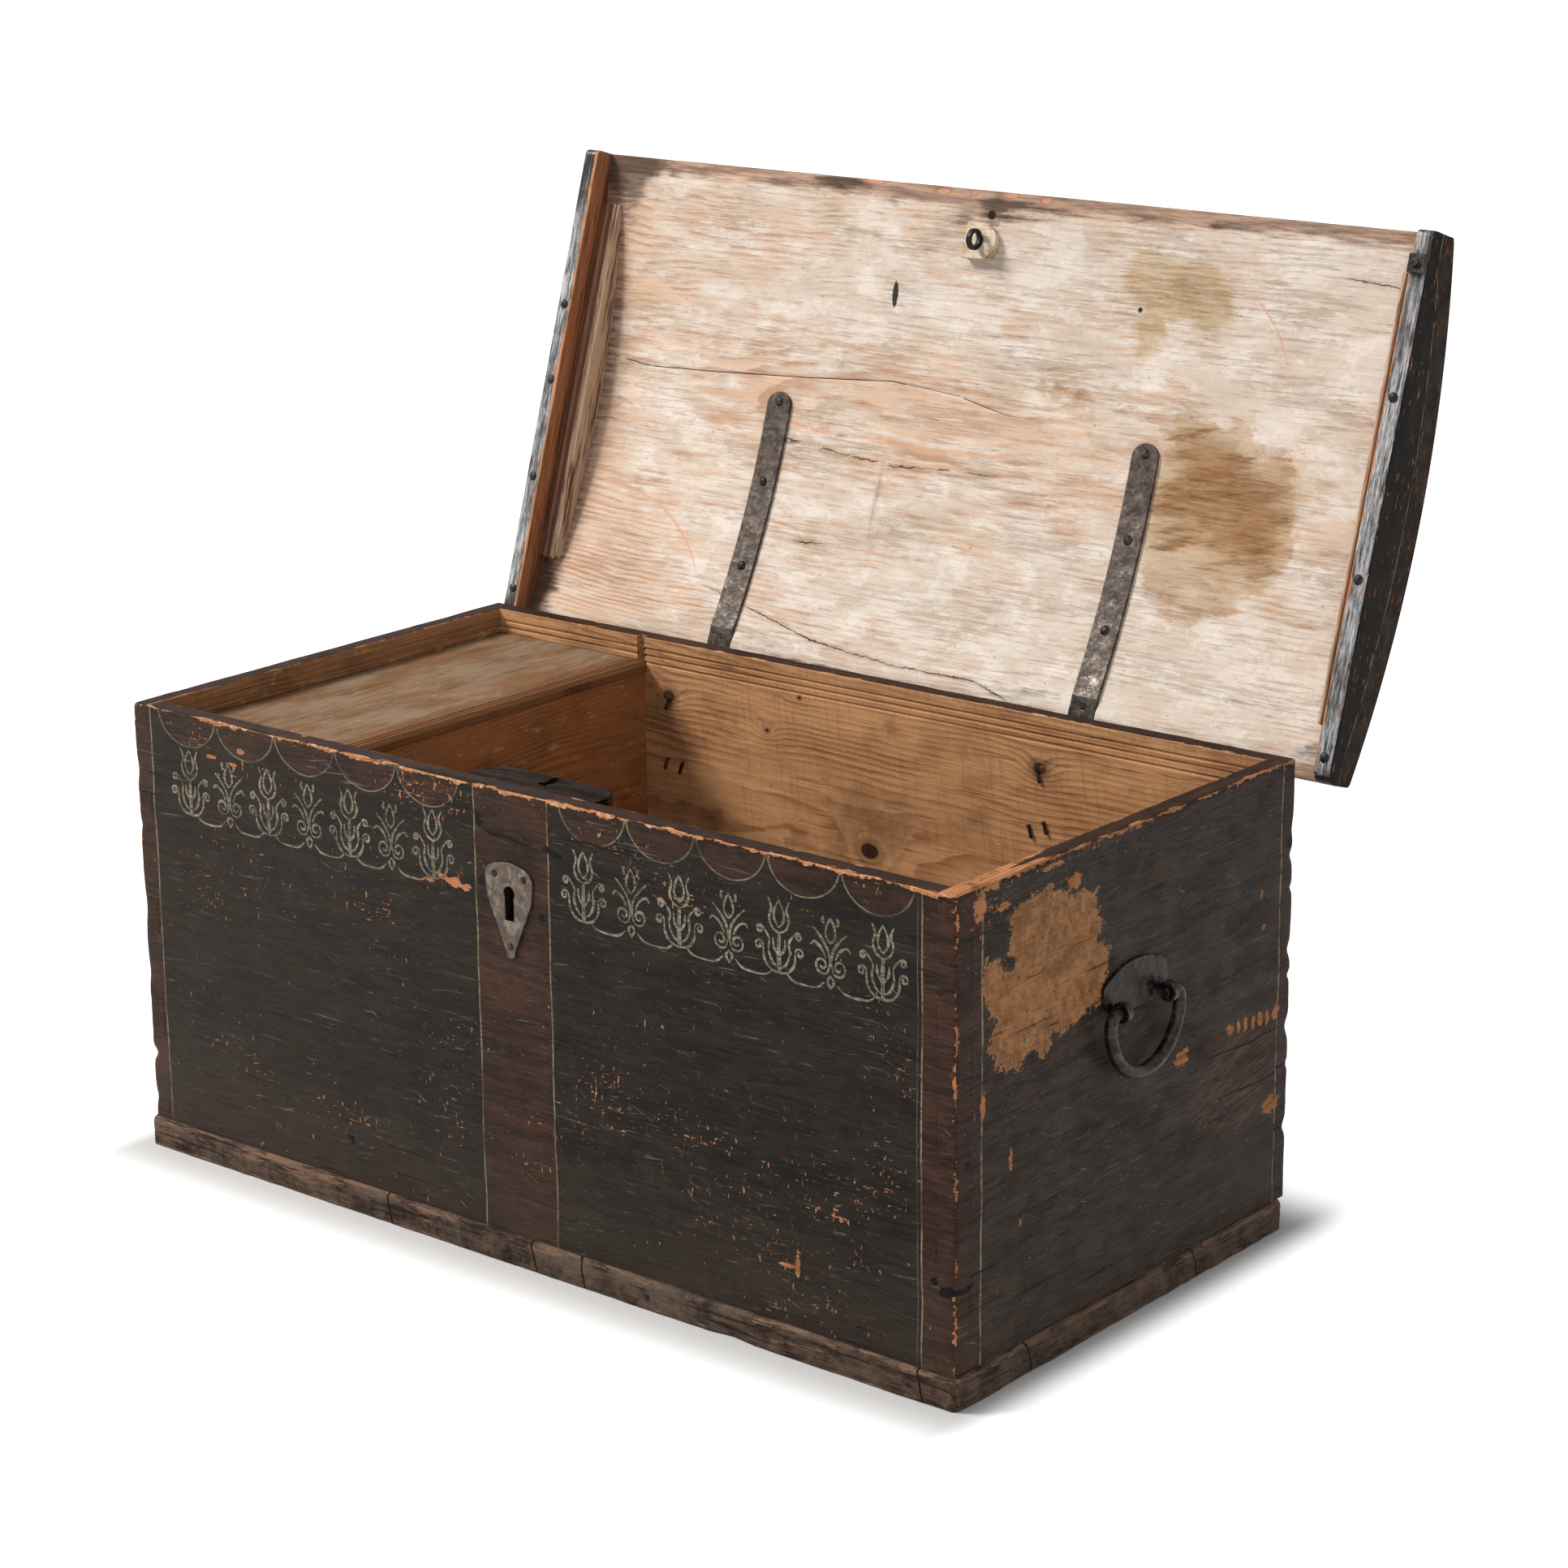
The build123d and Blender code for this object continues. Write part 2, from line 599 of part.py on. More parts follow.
def till_lid():
    """The till's lid: a rounded pivot edge at the left and a moulded nosing at the right."""
    radius = TILL_LID_THICKNESS / 2
    left = TILL_PIVOT_X - radius
    right = TILL_FRONT_X + 4
    outline = [
        Polyline(
            (TILL_PIVOT_X, TILL_LID_TOP),
            (right - 5, TILL_LID_TOP),
            (right, TILL_LID_TOP - 5),
            (right, TILL_LID_BOTTOM),
            (TILL_PIVOT_X, TILL_LID_BOTTOM),
        ),
        ThreePointArc(
            (TILL_PIVOT_X, TILL_LID_BOTTOM),
            (left, TILL_LID_BOTTOM + radius),
            (TILL_PIVOT_X, TILL_LID_TOP),
        ),
    ]
    y = INNER_Y - 0.8
    lid = along_y(outline, -y, y)
    for inset in (11.0, 18.0):
        lid -= rod((right - inset, -y, TILL_LID_TOP), (right - inset, y, TILL_LID_TOP), 1.6)
    return lid - till_pins()


def till_pivot_rods(inner_y, outer_y, radius):
    """Twin rods on the till lid's axis, one at the front and one at the back."""
    x, z = TILL_PIVOT_X, TILL_LID_BOTTOM + TILL_LID_THICKNESS / 2
    return [rod((x, side * inner_y, z), (x, side * outer_y, z), radius) for side in (-1, 1)]


def till_pins():
    """The two wooden pins on which the till's lid turns."""
    return till_pivot_rods(INNER_Y - 25, INNER_Y + 11, TILL_PIN_RADIUS)


def till_pin_holes():
    """Running holes for the till's pins in the front and back boards."""
    return till_pivot_rods(INNER_Y, INNER_Y + 13, TILL_PIN_RADIUS + RUNNING_GAP)


def till_nails():
    """Nails in the outer face of the till's upright board."""
    nails = []
    for y, z in TILL_NAILS:
        nail = rod((TILL_FRONT_X - TILL_FRONT_THICKNESS, y, z), (TILL_FRONT_X, y, z), 1.8)
        nails.append(nail + Pos(TILL_FRONT_X - 0.6, y, z) * Rot(Y=90) * domed_head(4.5, 1.8))
    return nails


# Lock


def keyhole(y0, y1):
    """The keyhole's shape between two depths: a round top and a straight slot."""
    hole = rod((LOCK_X, y0, KEYHOLE_TOP_Z), (LOCK_X, y1, KEYHOLE_TOP_Z), 8.0)
    return hole + block(LOCK_X - 6.5, LOCK_X + 6.5, y0, y1, KEYHOLE_BOTTOM_Z, KEYHOLE_TOP_Z)


def lock_cover():
    """The wooden cover over the lock: hollow towards the front board, slotted above for the catch."""
    y0, y1 = -INNER_Y, COVER_BACK_Y
    outline = Polyline(
        (COVER_LEFT, y0),
        (COVER_RIGHT, y0),
        (COVER_RIGHT, y1 - 26),
        (COVER_RIGHT - 18, y1),
        (COVER_LEFT + 18, y1),
        (COVER_LEFT, y1 - 26),
        close=True,
    )
    cover = along_z(outline, COVER_BOTTOM, COVER_TOP)
    left, right = LOCK_PLATE[0] - 4, LOCK_PLATE[1] + 4
    cover -= block(left, right, y0, y1 - 12, COVER_BOTTOM + 15, CATCH_EYE_Z + 5)
    slot_x, slot_y = 6.0, 15.5
    return cover - block(
        CATCH_X - slot_x,
        CATCH_X + slot_x,
        CATCH_Y - slot_y,
        CATCH_Y + slot_y,
        CATCH_EYE_Z - 19,
        COVER_TOP,
    )


def lock_nails():
    """Four nails through the front board and the lock's plate, sunk a little below the paint."""
    nails = []
    for x, z in LOCK_NAILS:
        nail = rod((x, -HALF_DEPTH + 0.8, z), (x, -INNER_Y + 5.5, z), 2.0)
        nails.append(nail + rod((x, -HALF_DEPTH + 0.8, z), (x, -HALF_DEPTH + 2.5, z), 4.0))
    return nails


def nail_pits():
    """Shallow pits in the front face over the sunk nails."""
    return [rod((x, -HALF_DEPTH - 1, z), (x, -HALF_DEPTH + 0.8, z), 4.0) for x, z in LOCK_NAILS]


def lock_plate():
    """The iron plate inside the front board that carries the lock's parts."""
    x0, x1, z0, z1 = LOCK_PLATE
    plate = block(x0, x1, -INNER_Y, -INNER_Y + 3, z0, z1)
    return plate - keyhole(-INNER_Y - 1, -INNER_Y + 4) - lock_nails()


def bolt_guides():
    """Two bridges on the plate, each with a square running hole for the bolt."""
    y0, y1 = -INNER_Y + 3, -238.6
    reach = 4.1
    y, z = CATCH_Y, CATCH_EYE_Z
    hole = block(-90, 60, y - reach, y + reach, z - reach, z + reach)
    bottom, top = CATCH_EYE_Z - 10, CATCH_EYE_Z + 4.8
    return [block(x, x + 8, y0, y1, bottom, top) - hole for x in (-68.0, 14.0)]


def lock_bolt():
    """The sliding bolt: a square bar with a leg down to the key."""
    tip = CATCH_X - 9.0
    y0, y1 = CATCH_Y - 4, CATCH_Y + 4
    bar = block(tip - 76, tip, y0, y1, CATCH_EYE_Z - 4, CATCH_EYE_Z + 4)
    leg = block(tip - 44, tip - 34, y0, y1, KEYHOLE_BOTTOM_Z + 4, CATCH_EYE_Z - 4)
    tooth = block(tip - 34, tip - 24, y0, y1, KEYHOLE_BOTTOM_Z + 4, KEYHOLE_BOTTOM_Z + 14)
    return bar + leg + tooth


def key_post():
    """The pin on which a hollow key turns, riveted to a small bridge at its far end."""
    x, z = LOCK_X, KEYHOLE_TOP_Z
    post = rod((x, -INNER_Y + 3, z), (x, -242, z), 2.5)
    return post + block(x - 9, x + 9, -242, -239, z - 7, z + 7)


def lock_spring():
    """A bent leaf spring on the plate, clear of the bolt's leg."""
    outline = Polyline(
        (22, 396),
        (43, 396),
        (43, 494),
        (24, 466),
        (25.5, 464.5),
        (41, 487),
        (41, 398),
        (22, 398),
        close=True,
    )
    return along_y(outline, -INNER_Y + 3, -INNER_Y + 15)


def front_board():
    """The front board with its keyhole, nail pits and nail holes."""
    return long_board(-1) - keyhole(-HALF_DEPTH - 1, -INNER_Y + 1) - lock_nails() - nail_pits()


def back_board():
    """The back board with the holes of the hinge nails."""
    return long_board(1) - leaf_nails(-1) - leaf_nails(1)


def escutcheon_outline():
    """A shield that narrows to a small rounded tip below."""
    x, top, bottom = LOCK_X, ESCUTCHEON_TOP_Z, ESCUTCHEON_BOTTOM_Z
    half, tip = 34.5, 6.5
    return [
        ThreePointArc((x - half + 7, top - 6), (x, top), (x + half - 7, top - 6)),
        ThreePointArc((x + half - 7, top - 6), (x + half - 1.5, top - 11), (x + half, top - 18)),
        Polyline((x + half, top - 18), (x + half - 2, top - 42), (x + tip, bottom + 8)),
        ThreePointArc((x + tip, bottom + 8), (x, bottom), (x - tip, bottom + 8)),
        Polyline((x - tip, bottom + 8), (x - half + 2, top - 42), (x - half, top - 18)),
        ThreePointArc((x - half, top - 18), (x - half + 1.5, top - 11), (x - half + 7, top - 6)),
    ]


def escutcheon():
    """The iron keyhole plate on the front."""
    y0, y1 = -HALF_DEPTH - 2.5, -HALF_DEPTH
    return along_y(escutcheon_outline(), y0, y1) - keyhole(y0 - 1, y1 + 1) - escutcheon_nails()


def escutcheon_nails():
    """Three nails that hold the keyhole plate."""
    face = -HALF_DEPTH - 2.5
    high, low = ESCUTCHEON_TOP_Z - 15.5, ESCUTCHEON_BOTTOM_Z + 14
    nails = []
    for x, z in ((LOCK_X - 21, high), (LOCK_X + 22, high), (LOCK_X, low)):
        nail = rod((x, face - 0.2, z), (x, face + 2.5, z), 1.8)
        nails.append(nail + Pos(x, face, z) * Rot(X=90) * domed_head(4.8, 1.5))
    return nails


# End handles


def handle_plate(side):
    """The arched iron plate behind a handle's eyes."""
    half, foot = 60.0, 36.0
    low, shoulder, high, crown = -9.0, 10.0, 27.0, 46.0
    outline = [
        Polyline(
            (-half, high), (-half, shoulder), (-foot, low), (foot, low), (half, shoulder), (half, high)
        ),
        ThreePointArc((half, high), (0, crown), (-half, high)),
    ]
    plate = Pos(0, 0, HANDLE_Z) * along_x(outline, HALF_WIDTH, HALF_WIDTH + HANDLE_PLATE)
    return mirrored(plate, side) - handle_eyes(side)


def handle_eyes(side):
    """Two eyes for a handle's pins, each with a square shank in the end board."""
    x = HALF_WIDTH + HANDLE_STANDOFF
    eyes = []
    for place in (-HANDLE_EYE_Y, HANDLE_EYE_Y):
        y0, y1 = place - 4.5, place + 4.5
        eye = rod((x, y0, HANDLE_Z), (x, y1, HANDLE_Z), HANDLE_EYE_RADIUS)
        eye += block(HALF_WIDTH - 15, x - 7, y0 + 1, y1 - 1, HANDLE_Z - 4, HANDLE_Z + 4)
        eye -= rod((x, y0, HANDLE_Z), (x, y1, HANDLE_Z), HANDLE_PIN_RADIUS + RUNNING_GAP)
        eyes.append(mirrored(eye, side))
    return eyes


def handle_bail(side):
    """The swinging bail: a U of round bar, thickest at the grip, with ends turned in through the eyes."""
    half, bend = HANDLE_HALF_WIDTH, HANDLE_BEND
    straight = half - bend
    corner = bend * (1 - cos(radians(45)))
    x = HALF_WIDTH + HANDLE_STANDOFF
    path = Plane.YZ * Wire(
        [
            *Line((straight - 2, 0), (straight, 0)).edges(),
            *ThreePointArc((straight, 0), (half - corner, -corner), (half, -bend)).edges(),
            *ThreePointArc((half, -bend), (0, -bend - half), (-half, -bend)).edges(),
            *ThreePointArc((-half, -bend), (-half + corner, -corner), (-straight, 0)).edges(),
            *Line((-straight, 0), (-straight + 2, 0)).edges(),
        ]
    )
    sections = [
        Plane(origin=path @ place, z_dir=path % place) * Circle(radius)
        for place, radius in ((0, HANDLE_ARM_RADIUS), (0.5, HANDLE_GRIP_RADIUS), (1, HANDLE_ARM_RADIUS))
    ]
    bail = sweep(sections, path, multisection=True)
    for sign in (-1, 1):
        bail += rod((0, sign * (HANDLE_EYE_Y - 9), 0), (0, sign * (straight - 1), 0), HANDLE_PIN_RADIUS)
    return mirrored(Pos(x, 0, HANDLE_Z) * bail, side)


# Plinth nails


def plinth_nails():
    """Nails in the face of the plinth, their heads just proud."""
    face = -HALF_DEPTH - PLINTH_PROUD
    z = PLINTH_HEIGHT * 0.45
    head = Rot(X=90) * domed_head(3.8, 1.4)
    return [
        rod((x, face + 20, z), (x, face, z), 1.8) + Pos(x, face + 0.4, z) * head
        for x in (-520, -180, 190, 545)
    ]


def opened(shape):
    """A piece of the lid, turned from shut to its open rest."""
    return shape.rotate(Axis((0, PIVOT_Y, PIVOT_Z), (1, 0, 0)), -OPEN_ANGLE)


def all_opened(solids):
    """Several pieces of the lid, each turned open."""
    return [opened(solid) for solid in solids]


SIDES = {"left": -1, "right": 1}

save("front_board", front_board())
save("back_board", back_board())
for word, side in SIDES.items():
    save(f"end_board_{word}", end_board(side))
for index, word in enumerate(("front", "middle", "rear")):
    save(f"bottom_plank_{word}", bottom_plank(index))
save("bottom_bearer", bottom_bearer())
nails = plinth_nails()
for word, piece in plinth_pieces().items():
    save(f"plinth_{word}", piece - nails if word == "front" else piece)
save("plinth_nails", *nails)

save("till_front_board", till_front())
save("till_floor_board", till_floor())
save("till_nails", *till_nails())
save("till_lid_board", till_lid())
save("till_lid_pins", *till_pins())

save("lock_cover", lock_cover())
save("lock_nails", *lock_nails())
save("lock_plate", lock_plate())
save("lock_bolt_guides", *bolt_guides())
save("lock_key_post", key_post())
save("lock_spring", lock_spring())
save("lock_bolt", lock_bolt())
save("escutcheon_plate", escutcheon())
save("escutcheon_nails", *escutcheon_nails())

for word, piece in zip(("front", "middle", "rear"), lid_planks()):
    save(f"lid_plank_{word}", opened(piece))
save("catch_block", opened(catch_block()))
save("catch_eye", opened(catch_eye()))
save("batten_bolt_right", opened(batten_bolt()))

for word, side in SIDES.items():
    save(f"lid_batten_{word}", opened(batten(side)))
    save(f"lid_inner_strip_{word}", opened(inner_strip(side)))
    save(f"batten_nails_{word}", *all_opened(batten_nails(side)))
    save(f"hinge_strap_{word}", opened(hinge_strap(side)))
    save(f"strap_rivets_{word}", *all_opened(strap_rivets(side)))
    save(f"hinge_leaf_{word}", hinge_leaf(side))
    save(f"hinge_pin_{word}", hinge_pin(side))
    save(f"leaf_nails_{word}", *leaf_nails(side))
    save(f"handle_plate_{word}", handle_plate(side))
    save(f"handle_eyes_{word}", *handle_eyes(side))
    save(f"handle_bail_{word}", handle_bail(side))
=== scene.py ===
import json
import math

import bpy
import numpy as np
from mathutils import Matrix, Vector

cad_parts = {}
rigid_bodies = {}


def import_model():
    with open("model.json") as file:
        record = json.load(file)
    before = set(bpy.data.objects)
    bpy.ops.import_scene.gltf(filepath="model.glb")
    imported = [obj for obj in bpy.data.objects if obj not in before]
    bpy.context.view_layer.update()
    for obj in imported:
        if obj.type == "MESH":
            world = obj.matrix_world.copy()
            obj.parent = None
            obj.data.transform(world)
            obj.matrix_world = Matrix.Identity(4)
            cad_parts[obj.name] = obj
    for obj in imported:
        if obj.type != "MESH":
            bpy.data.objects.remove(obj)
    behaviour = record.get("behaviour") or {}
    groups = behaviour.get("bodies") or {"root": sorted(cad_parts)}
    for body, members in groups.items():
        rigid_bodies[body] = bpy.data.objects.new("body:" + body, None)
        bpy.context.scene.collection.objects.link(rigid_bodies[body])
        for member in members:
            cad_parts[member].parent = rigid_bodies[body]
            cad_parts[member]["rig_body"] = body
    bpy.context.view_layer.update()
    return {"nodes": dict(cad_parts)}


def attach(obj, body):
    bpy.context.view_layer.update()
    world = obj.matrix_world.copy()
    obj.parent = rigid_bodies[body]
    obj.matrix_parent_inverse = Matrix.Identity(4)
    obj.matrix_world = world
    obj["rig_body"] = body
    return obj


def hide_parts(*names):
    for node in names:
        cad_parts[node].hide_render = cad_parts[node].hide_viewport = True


# The looks of a painted pine blanket chest: worn boards, forged iron, old paint and a limewashed lid.
# Lengths here are millimetres unless a name says otherwise. The front faces -Y and up is +Z.
# The lid's pieces are drawn shut and then turned open about the hinge axis.

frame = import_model()

MM = 0.001
INF = float("inf")

# Case
HALF_WIDTH = 600.0
HALF_DEPTH = 310.0
BOARD = 24.0
INNER_X = HALF_WIDTH - BOARD
INNER_Y = HALF_DEPTH - BOARD
FOOT_Z = 35.0
RIM_Z = 550.0
TAIL_COUNT = 4
TAIL_PITCH = (RIM_Z - FOOT_Z) / TAIL_COUNT
TAIL_HALF = 41.0
TAIL_FLARE = 4.0
MOULDING_Z = (RIM_Z - 15.0, RIM_Z - 23.5, RIM_Z - 32.5)
MOULDING_RADIUS = 2.2
PLINTH_X = 607.0
PLINTH_FRONT = -317.0
PLINTH_REAR = 302.0
PLINTH_WIDTH = 60.0

# Till and lock cover
TILL_LEFT, TILL_RIGHT = -342.0, -330.0
TILL_HOUSING = 8.0
HOUSING_Z = 309.0
TILL_FRONT = ((TILL_LEFT, TILL_RIGHT), (-293.9, 293.9), (317.0, 505.7))
TILL_LID = (-573.0, -326.0, 506.0, 520.0)
TILL_LID_HALF = 285.2
COVER = (-95.0, 92.0, -286.0, -226.0, 372.0, 547.0)
COVER_CHAMFER = (18.0, 26.0)
LOCK_ROOM = (-84.0, 66.0, 387.0, 542.0)
CATCH_SLOT = (-3.0, 9.0, -262.0, -231.0, 518.0)
KEYHOLE = (-10.0, 6.0, 403.0, 442.0)

# Lid, drawn shut
LID_BASE = 550.4
LID_FRONT = -308.0
LID_MIDDLE = 1.0
HOLLOW_HALF, HOLLOW_RADIUS, HOLLOW_TOP = 281.0, 1145.5, 585.4
DOME_RADIUS, DOME_TOP = 1083.4, 615.4
BATTEN_X = (602.0, 624.0)
BATTEN_BOTTOM = 523.4
BATTEN_FRONT_ROUND, BATTEN_REAR_ROUND = 6.5, 17.0
STRIP_X = (578.0, 601.9)
STRIP_COVE, STRIP_ROLL, STRIP_QUIRK = (592.9, 4.5), (578.0, 4.0), (586.2, 0.8)
STRIP_REACH = {-1: (-245.0, 220.0), 1: (-262.0, 246.0)}
HINGE_X = {-1: -281.0, 1: 270.0}
STRAP_HALF = 18.5
STRAP_ROOM = 0.12
PIVOT = Matrix.Translation((0.0, 0.3215, 0.510))
OPENING = PIVOT @ Matrix.Rotation(math.radians(-107.5), 4, "X") @ PIVOT.inverted()

SIDES = {"left": -1, "right": 1}

# Half sizes of the case along X and Y, to its outer and inner faces.
OUTER = (HALF_WIDTH, HALF_DEPTH)
INNER = (INNER_X, INNER_Y)

# How near a face a point counts as on it, the angle in degrees that makes an edge sharp, and the furthest
# values of an outline's and a crack's field.
NEAR = 0.01
SHARP_ANGLE = 38.0
FIELD_LIMIT = 60.0
CRACK_FAR = 40.0


# Numbers over points


def value_noise(points, size, seed=0):
    """Smooth noise from -1 to 1 at each point, with cells of the given size on each axis."""
    scaled = points / np.asarray(size, float) + seed * 17.31
    cell = np.floor(scaled).astype(np.int64)
    part = scaled - cell
    part = part * part * (3 - 2 * part)
    total = np.zeros(len(points))
    for corner in range(8):
        step = np.array([(corner >> axis) & 1 for axis in range(3)])
        weight = np.prod(np.where(step, part, 1 - part), axis=1)
        key = (cell + step) @ np.array([73856093, 19349663, 83492791])
        key = (key ^ (key >> 13)) * 1274126177
        total += weight * (((key ^ (key >> 16)) & 0xFFFF) / 32767.5 - 1)
    return total


def rough_noise(points, size, seed=0, octaves=3):
    """Value noise in several sizes, each half the last in size and strength."""
    size = np.asarray(size, float)
    return sum(value_noise(points, size / 2**k, seed + k) / 2**k for k in range(octaves)) / 1.75


def spots(u, v, marks):
    """A sum of soft spots. Each mark is u, v, half width, half height and strength."""
    total = np.zeros(len(u))
    for mark_u, mark_v, reach_u, reach_v, strength in marks:
        total += strength * np.exp(-(((u - mark_u) / reach_u) ** 2) - ((v - mark_v) / reach_v) ** 2)
    return total


def inside_distance(u, v, outline):
    """Signed distance to a closed outline, positive inside it and held within FIELD_LIMIT."""
    nearest = np.full(len(u), INF)
    inside = np.zeros(len(u), bool)
    for (u0, v0), (u1, v1) in zip(outline, outline[1:] + outline[:1]):
        along_u, along_v = u1 - u0, v1 - v0
        share = ((u - u0) * along_u + (v - v0) * along_v) / (along_u**2 + along_v**2)
        share = np.clip(share, 0, 1)
        gap = np.hypot(u - u0 - share * along_u, v - v0 - share * along_v)
        nearest = np.minimum(nearest, gap)
        if v0 != v1:
            crosses = ((v0 > v) != (v1 > v)) & (u < u0 + (v - v0) / (v1 - v0) * along_u)
            inside ^= crosses
    return np.clip(np.where(inside, nearest, -nearest), -FIELD_LIMIT, FIELD_LIMIT)


def crack_fields(u, v, lines):
    """The offset across the nearest crack, and a mask that fades at its ends."""
    offset = np.full(len(u), CRACK_FAR)
    mask = np.zeros(len(u))
    for line in lines:
        line_u, line_v = zip(*line)
        across = v - np.interp(u, line_u, line_v)
        ends = np.clip(np.minimum(u - line_u[0], line_u[-1] - u) / 30.0, 0, 1)
        close = (np.abs(across) < CRACK_FAR) & (np.abs(across) < np.abs(offset))
        offset = np.where(close, across, offset)
        mask = np.where(close, np.where(np.abs(across) < 14, ends, 0), mask)
    return offset, mask


# Meshes


def stations(marks, step, near=(0.8, 2.2, 4.5)):
    """Grid lines through every mark, with closer lines beside each mark and even ones between."""
    marks = sorted(set(marks))
    result = [marks[-1]]
    for low, high in zip(marks, marks[1:]):
        close = [gap for gap in near if gap < (high - low) / 2 - 0.2]
        inset = close[-1] if close else 0.0
        count = max(1, math.ceil((high - low - 2 * inset) / step))
        result += [low, *(low + gap for gap in close), *(high - gap for gap in close)]
        result += list(np.linspace(low + inset, high - inset, count + 1))
    return np.unique(np.round(result, 3))


def middles(lines):
    """The middles between neighbouring lines."""
    return (lines[1:] + lines[:-1]) / 2


def lattice(xs, ys, zs, filled=None):
    """The skin of a grid's filled cells: points, four-sided faces, and each face's axis, side and middle.

    filled(x, y, z) says which cells are wood, from their middles. Without it every cell is."""
    lines = (xs, ys, zs)
    counts = [len(line) for line in lines]
    grid = np.meshgrid(*(middles(line) for line in lines), indexing="ij")
    cells = np.ones(grid[0].shape, bool) if filled is None else filled(*grid)
    padded = np.pad(cells, 1).astype(np.int8)
    faces, axes, sides = [], [], []
    for axis in range(3):
        second, third = (axis + 1) % 3, (axis + 2) % 3
        change = np.moveaxis(np.diff(padded, axis=axis), (axis, second, third), (0, 1, 2))
        change = change[:, 1:-1, 1:-1]
        for side in (-1, 1):
            at, j, k = np.nonzero(change == -side)
            corners = []
            for dj, dk in ((0, 0), (1, 0), (1, 1), (0, 1)):
                index = np.empty((3, len(at)), np.int64)
                index[axis], index[second], index[third] = at, j + dj, k + dk
                corners.append((index[0] * counts[1] + index[1]) * counts[2] + index[2])
            block = np.stack(corners, axis=1)
            faces.append(block if side > 0 else block[:, ::-1])
            axes.append(np.full(len(at), axis))
            sides.append(np.full(len(at), side))
    faces = np.concatenate(faces)
    used, faces = np.unique(faces, return_inverse=True)
    faces = faces.reshape(-1, 4)
    index = np.unravel_index(used, counts)
    points = np.stack([line[i] for line, i in zip(lines, index)], axis=1).astype(float)
    return points, faces, np.concatenate(axes), np.concatenate(sides), points[faces].mean(axis=1)


def soften(points, low, high, radius):
    """Rounds the edges of a box-shaped body by a radius that may differ from point to point."""
    radius = np.broadcast_to(radius, len(points))[:, None]
    core = np.clip(points, np.asarray(low, float) + radius, np.asarray(high, float) - radius)
    arm = points - core
    length = np.linalg.norm(arm, axis=1)
    longest = np.abs(arm).max(axis=1)
    scale = np.divide(longest, length, out=np.ones(len(points)), where=length > 1e-9)
    return core + arm * scale[:, None]


def keep_drawn(mesh, points):
    """Stores where each point of a lid piece lies with the lid shut, for the finishes to follow."""
    layer = mesh.attributes.new("drawn", "FLOAT_VECTOR", "POINT")
    layer.data.foreach_set("vector", np.asarray(points, np.float32).ravel())


def make_piece(name, body, points, faces, materials, slot, picks=None, fields=None, node=None):
    """A mesh piece that rides on a body, in place of a node if one is named.

    picks gives each face's material, fields the values at points."""
    mesh = bpy.data.meshes.new(name)
    faces = np.asarray(faces)
    mesh.vertices.add(len(points))
    mesh.vertices.foreach_set("co", (np.asarray(points) * MM).astype(np.float32).ravel())
    mesh.loops.add(faces.size)
    mesh.loops.foreach_set("vertex_index", faces.astype(np.int32).ravel())
    mesh.polygons.add(len(faces))
    mesh.polygons.foreach_set("loop_start", np.arange(0, faces.size, faces.shape[1], dtype=np.int32))
    for material in materials:
        mesh.materials.append(material)
    if picks is not None:
        mesh.polygons.foreach_set("material_index", np.asarray(picks, np.int32))
    for field, values in (fields or {}).items():
        layer = mesh.attributes.new(field, "FLOAT", "POINT")
        layer.data.foreach_set("value", np.asarray(values, np.float32))
    mesh.update()
    mesh.validate()
    mesh.shade_smooth()
    mesh.set_sharp_from_angle(angle=math.radians(SHARP_ANGLE))
    if body == "lid":
        keep_drawn(mesh, points)
        mesh.transform(OPENING)
    piece = bpy.data.objects.new(name, mesh)
    bpy.context.scene.collection.objects.link(piece)
    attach(piece, body)
    if node:
        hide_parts(node)


def make_worn(node, *arguments, **options):
    """The worn mesh that takes the place of a node's solid, from what make_piece needs after its name."""
    make_piece(f"{node}_worn", *arguments, **options, node=node)


# Node shorthand


def rgb(red, green, blue):
    """A colour given as on a screen, from 0 to 255, as the linear one that shaders use."""
    channels = [value / 255 for value in (red, green, blue)]
    linear = [c / 12.92 if c <= 0.04045 else ((c + 0.055) / 1.055) ** 2.4 for c in channels]
    return (*linear, 1.0)


class Wire:
    """A node's output. Arithmetic on it adds math nodes."""

    def __init__(self, shade, socket):
        self.shade = shade
        self.socket = socket

    def __add__(self, other):
        return self.shade.math("ADD", self, other)

    def __sub__(self, other):
        return self.shade.math("SUBTRACT", self, other)

    def __rsub__(self, other):
        return self.shade.math("SUBTRACT", other, self)

    def __mul__(self, other):
        return self.shade.math("MULTIPLY", self, other)

    def __truediv__(self, other):
        return self.shade.math("DIVIDE", self, other)

    def __rtruediv__(self, other):
        return self.shade.math("DIVIDE", other, self)


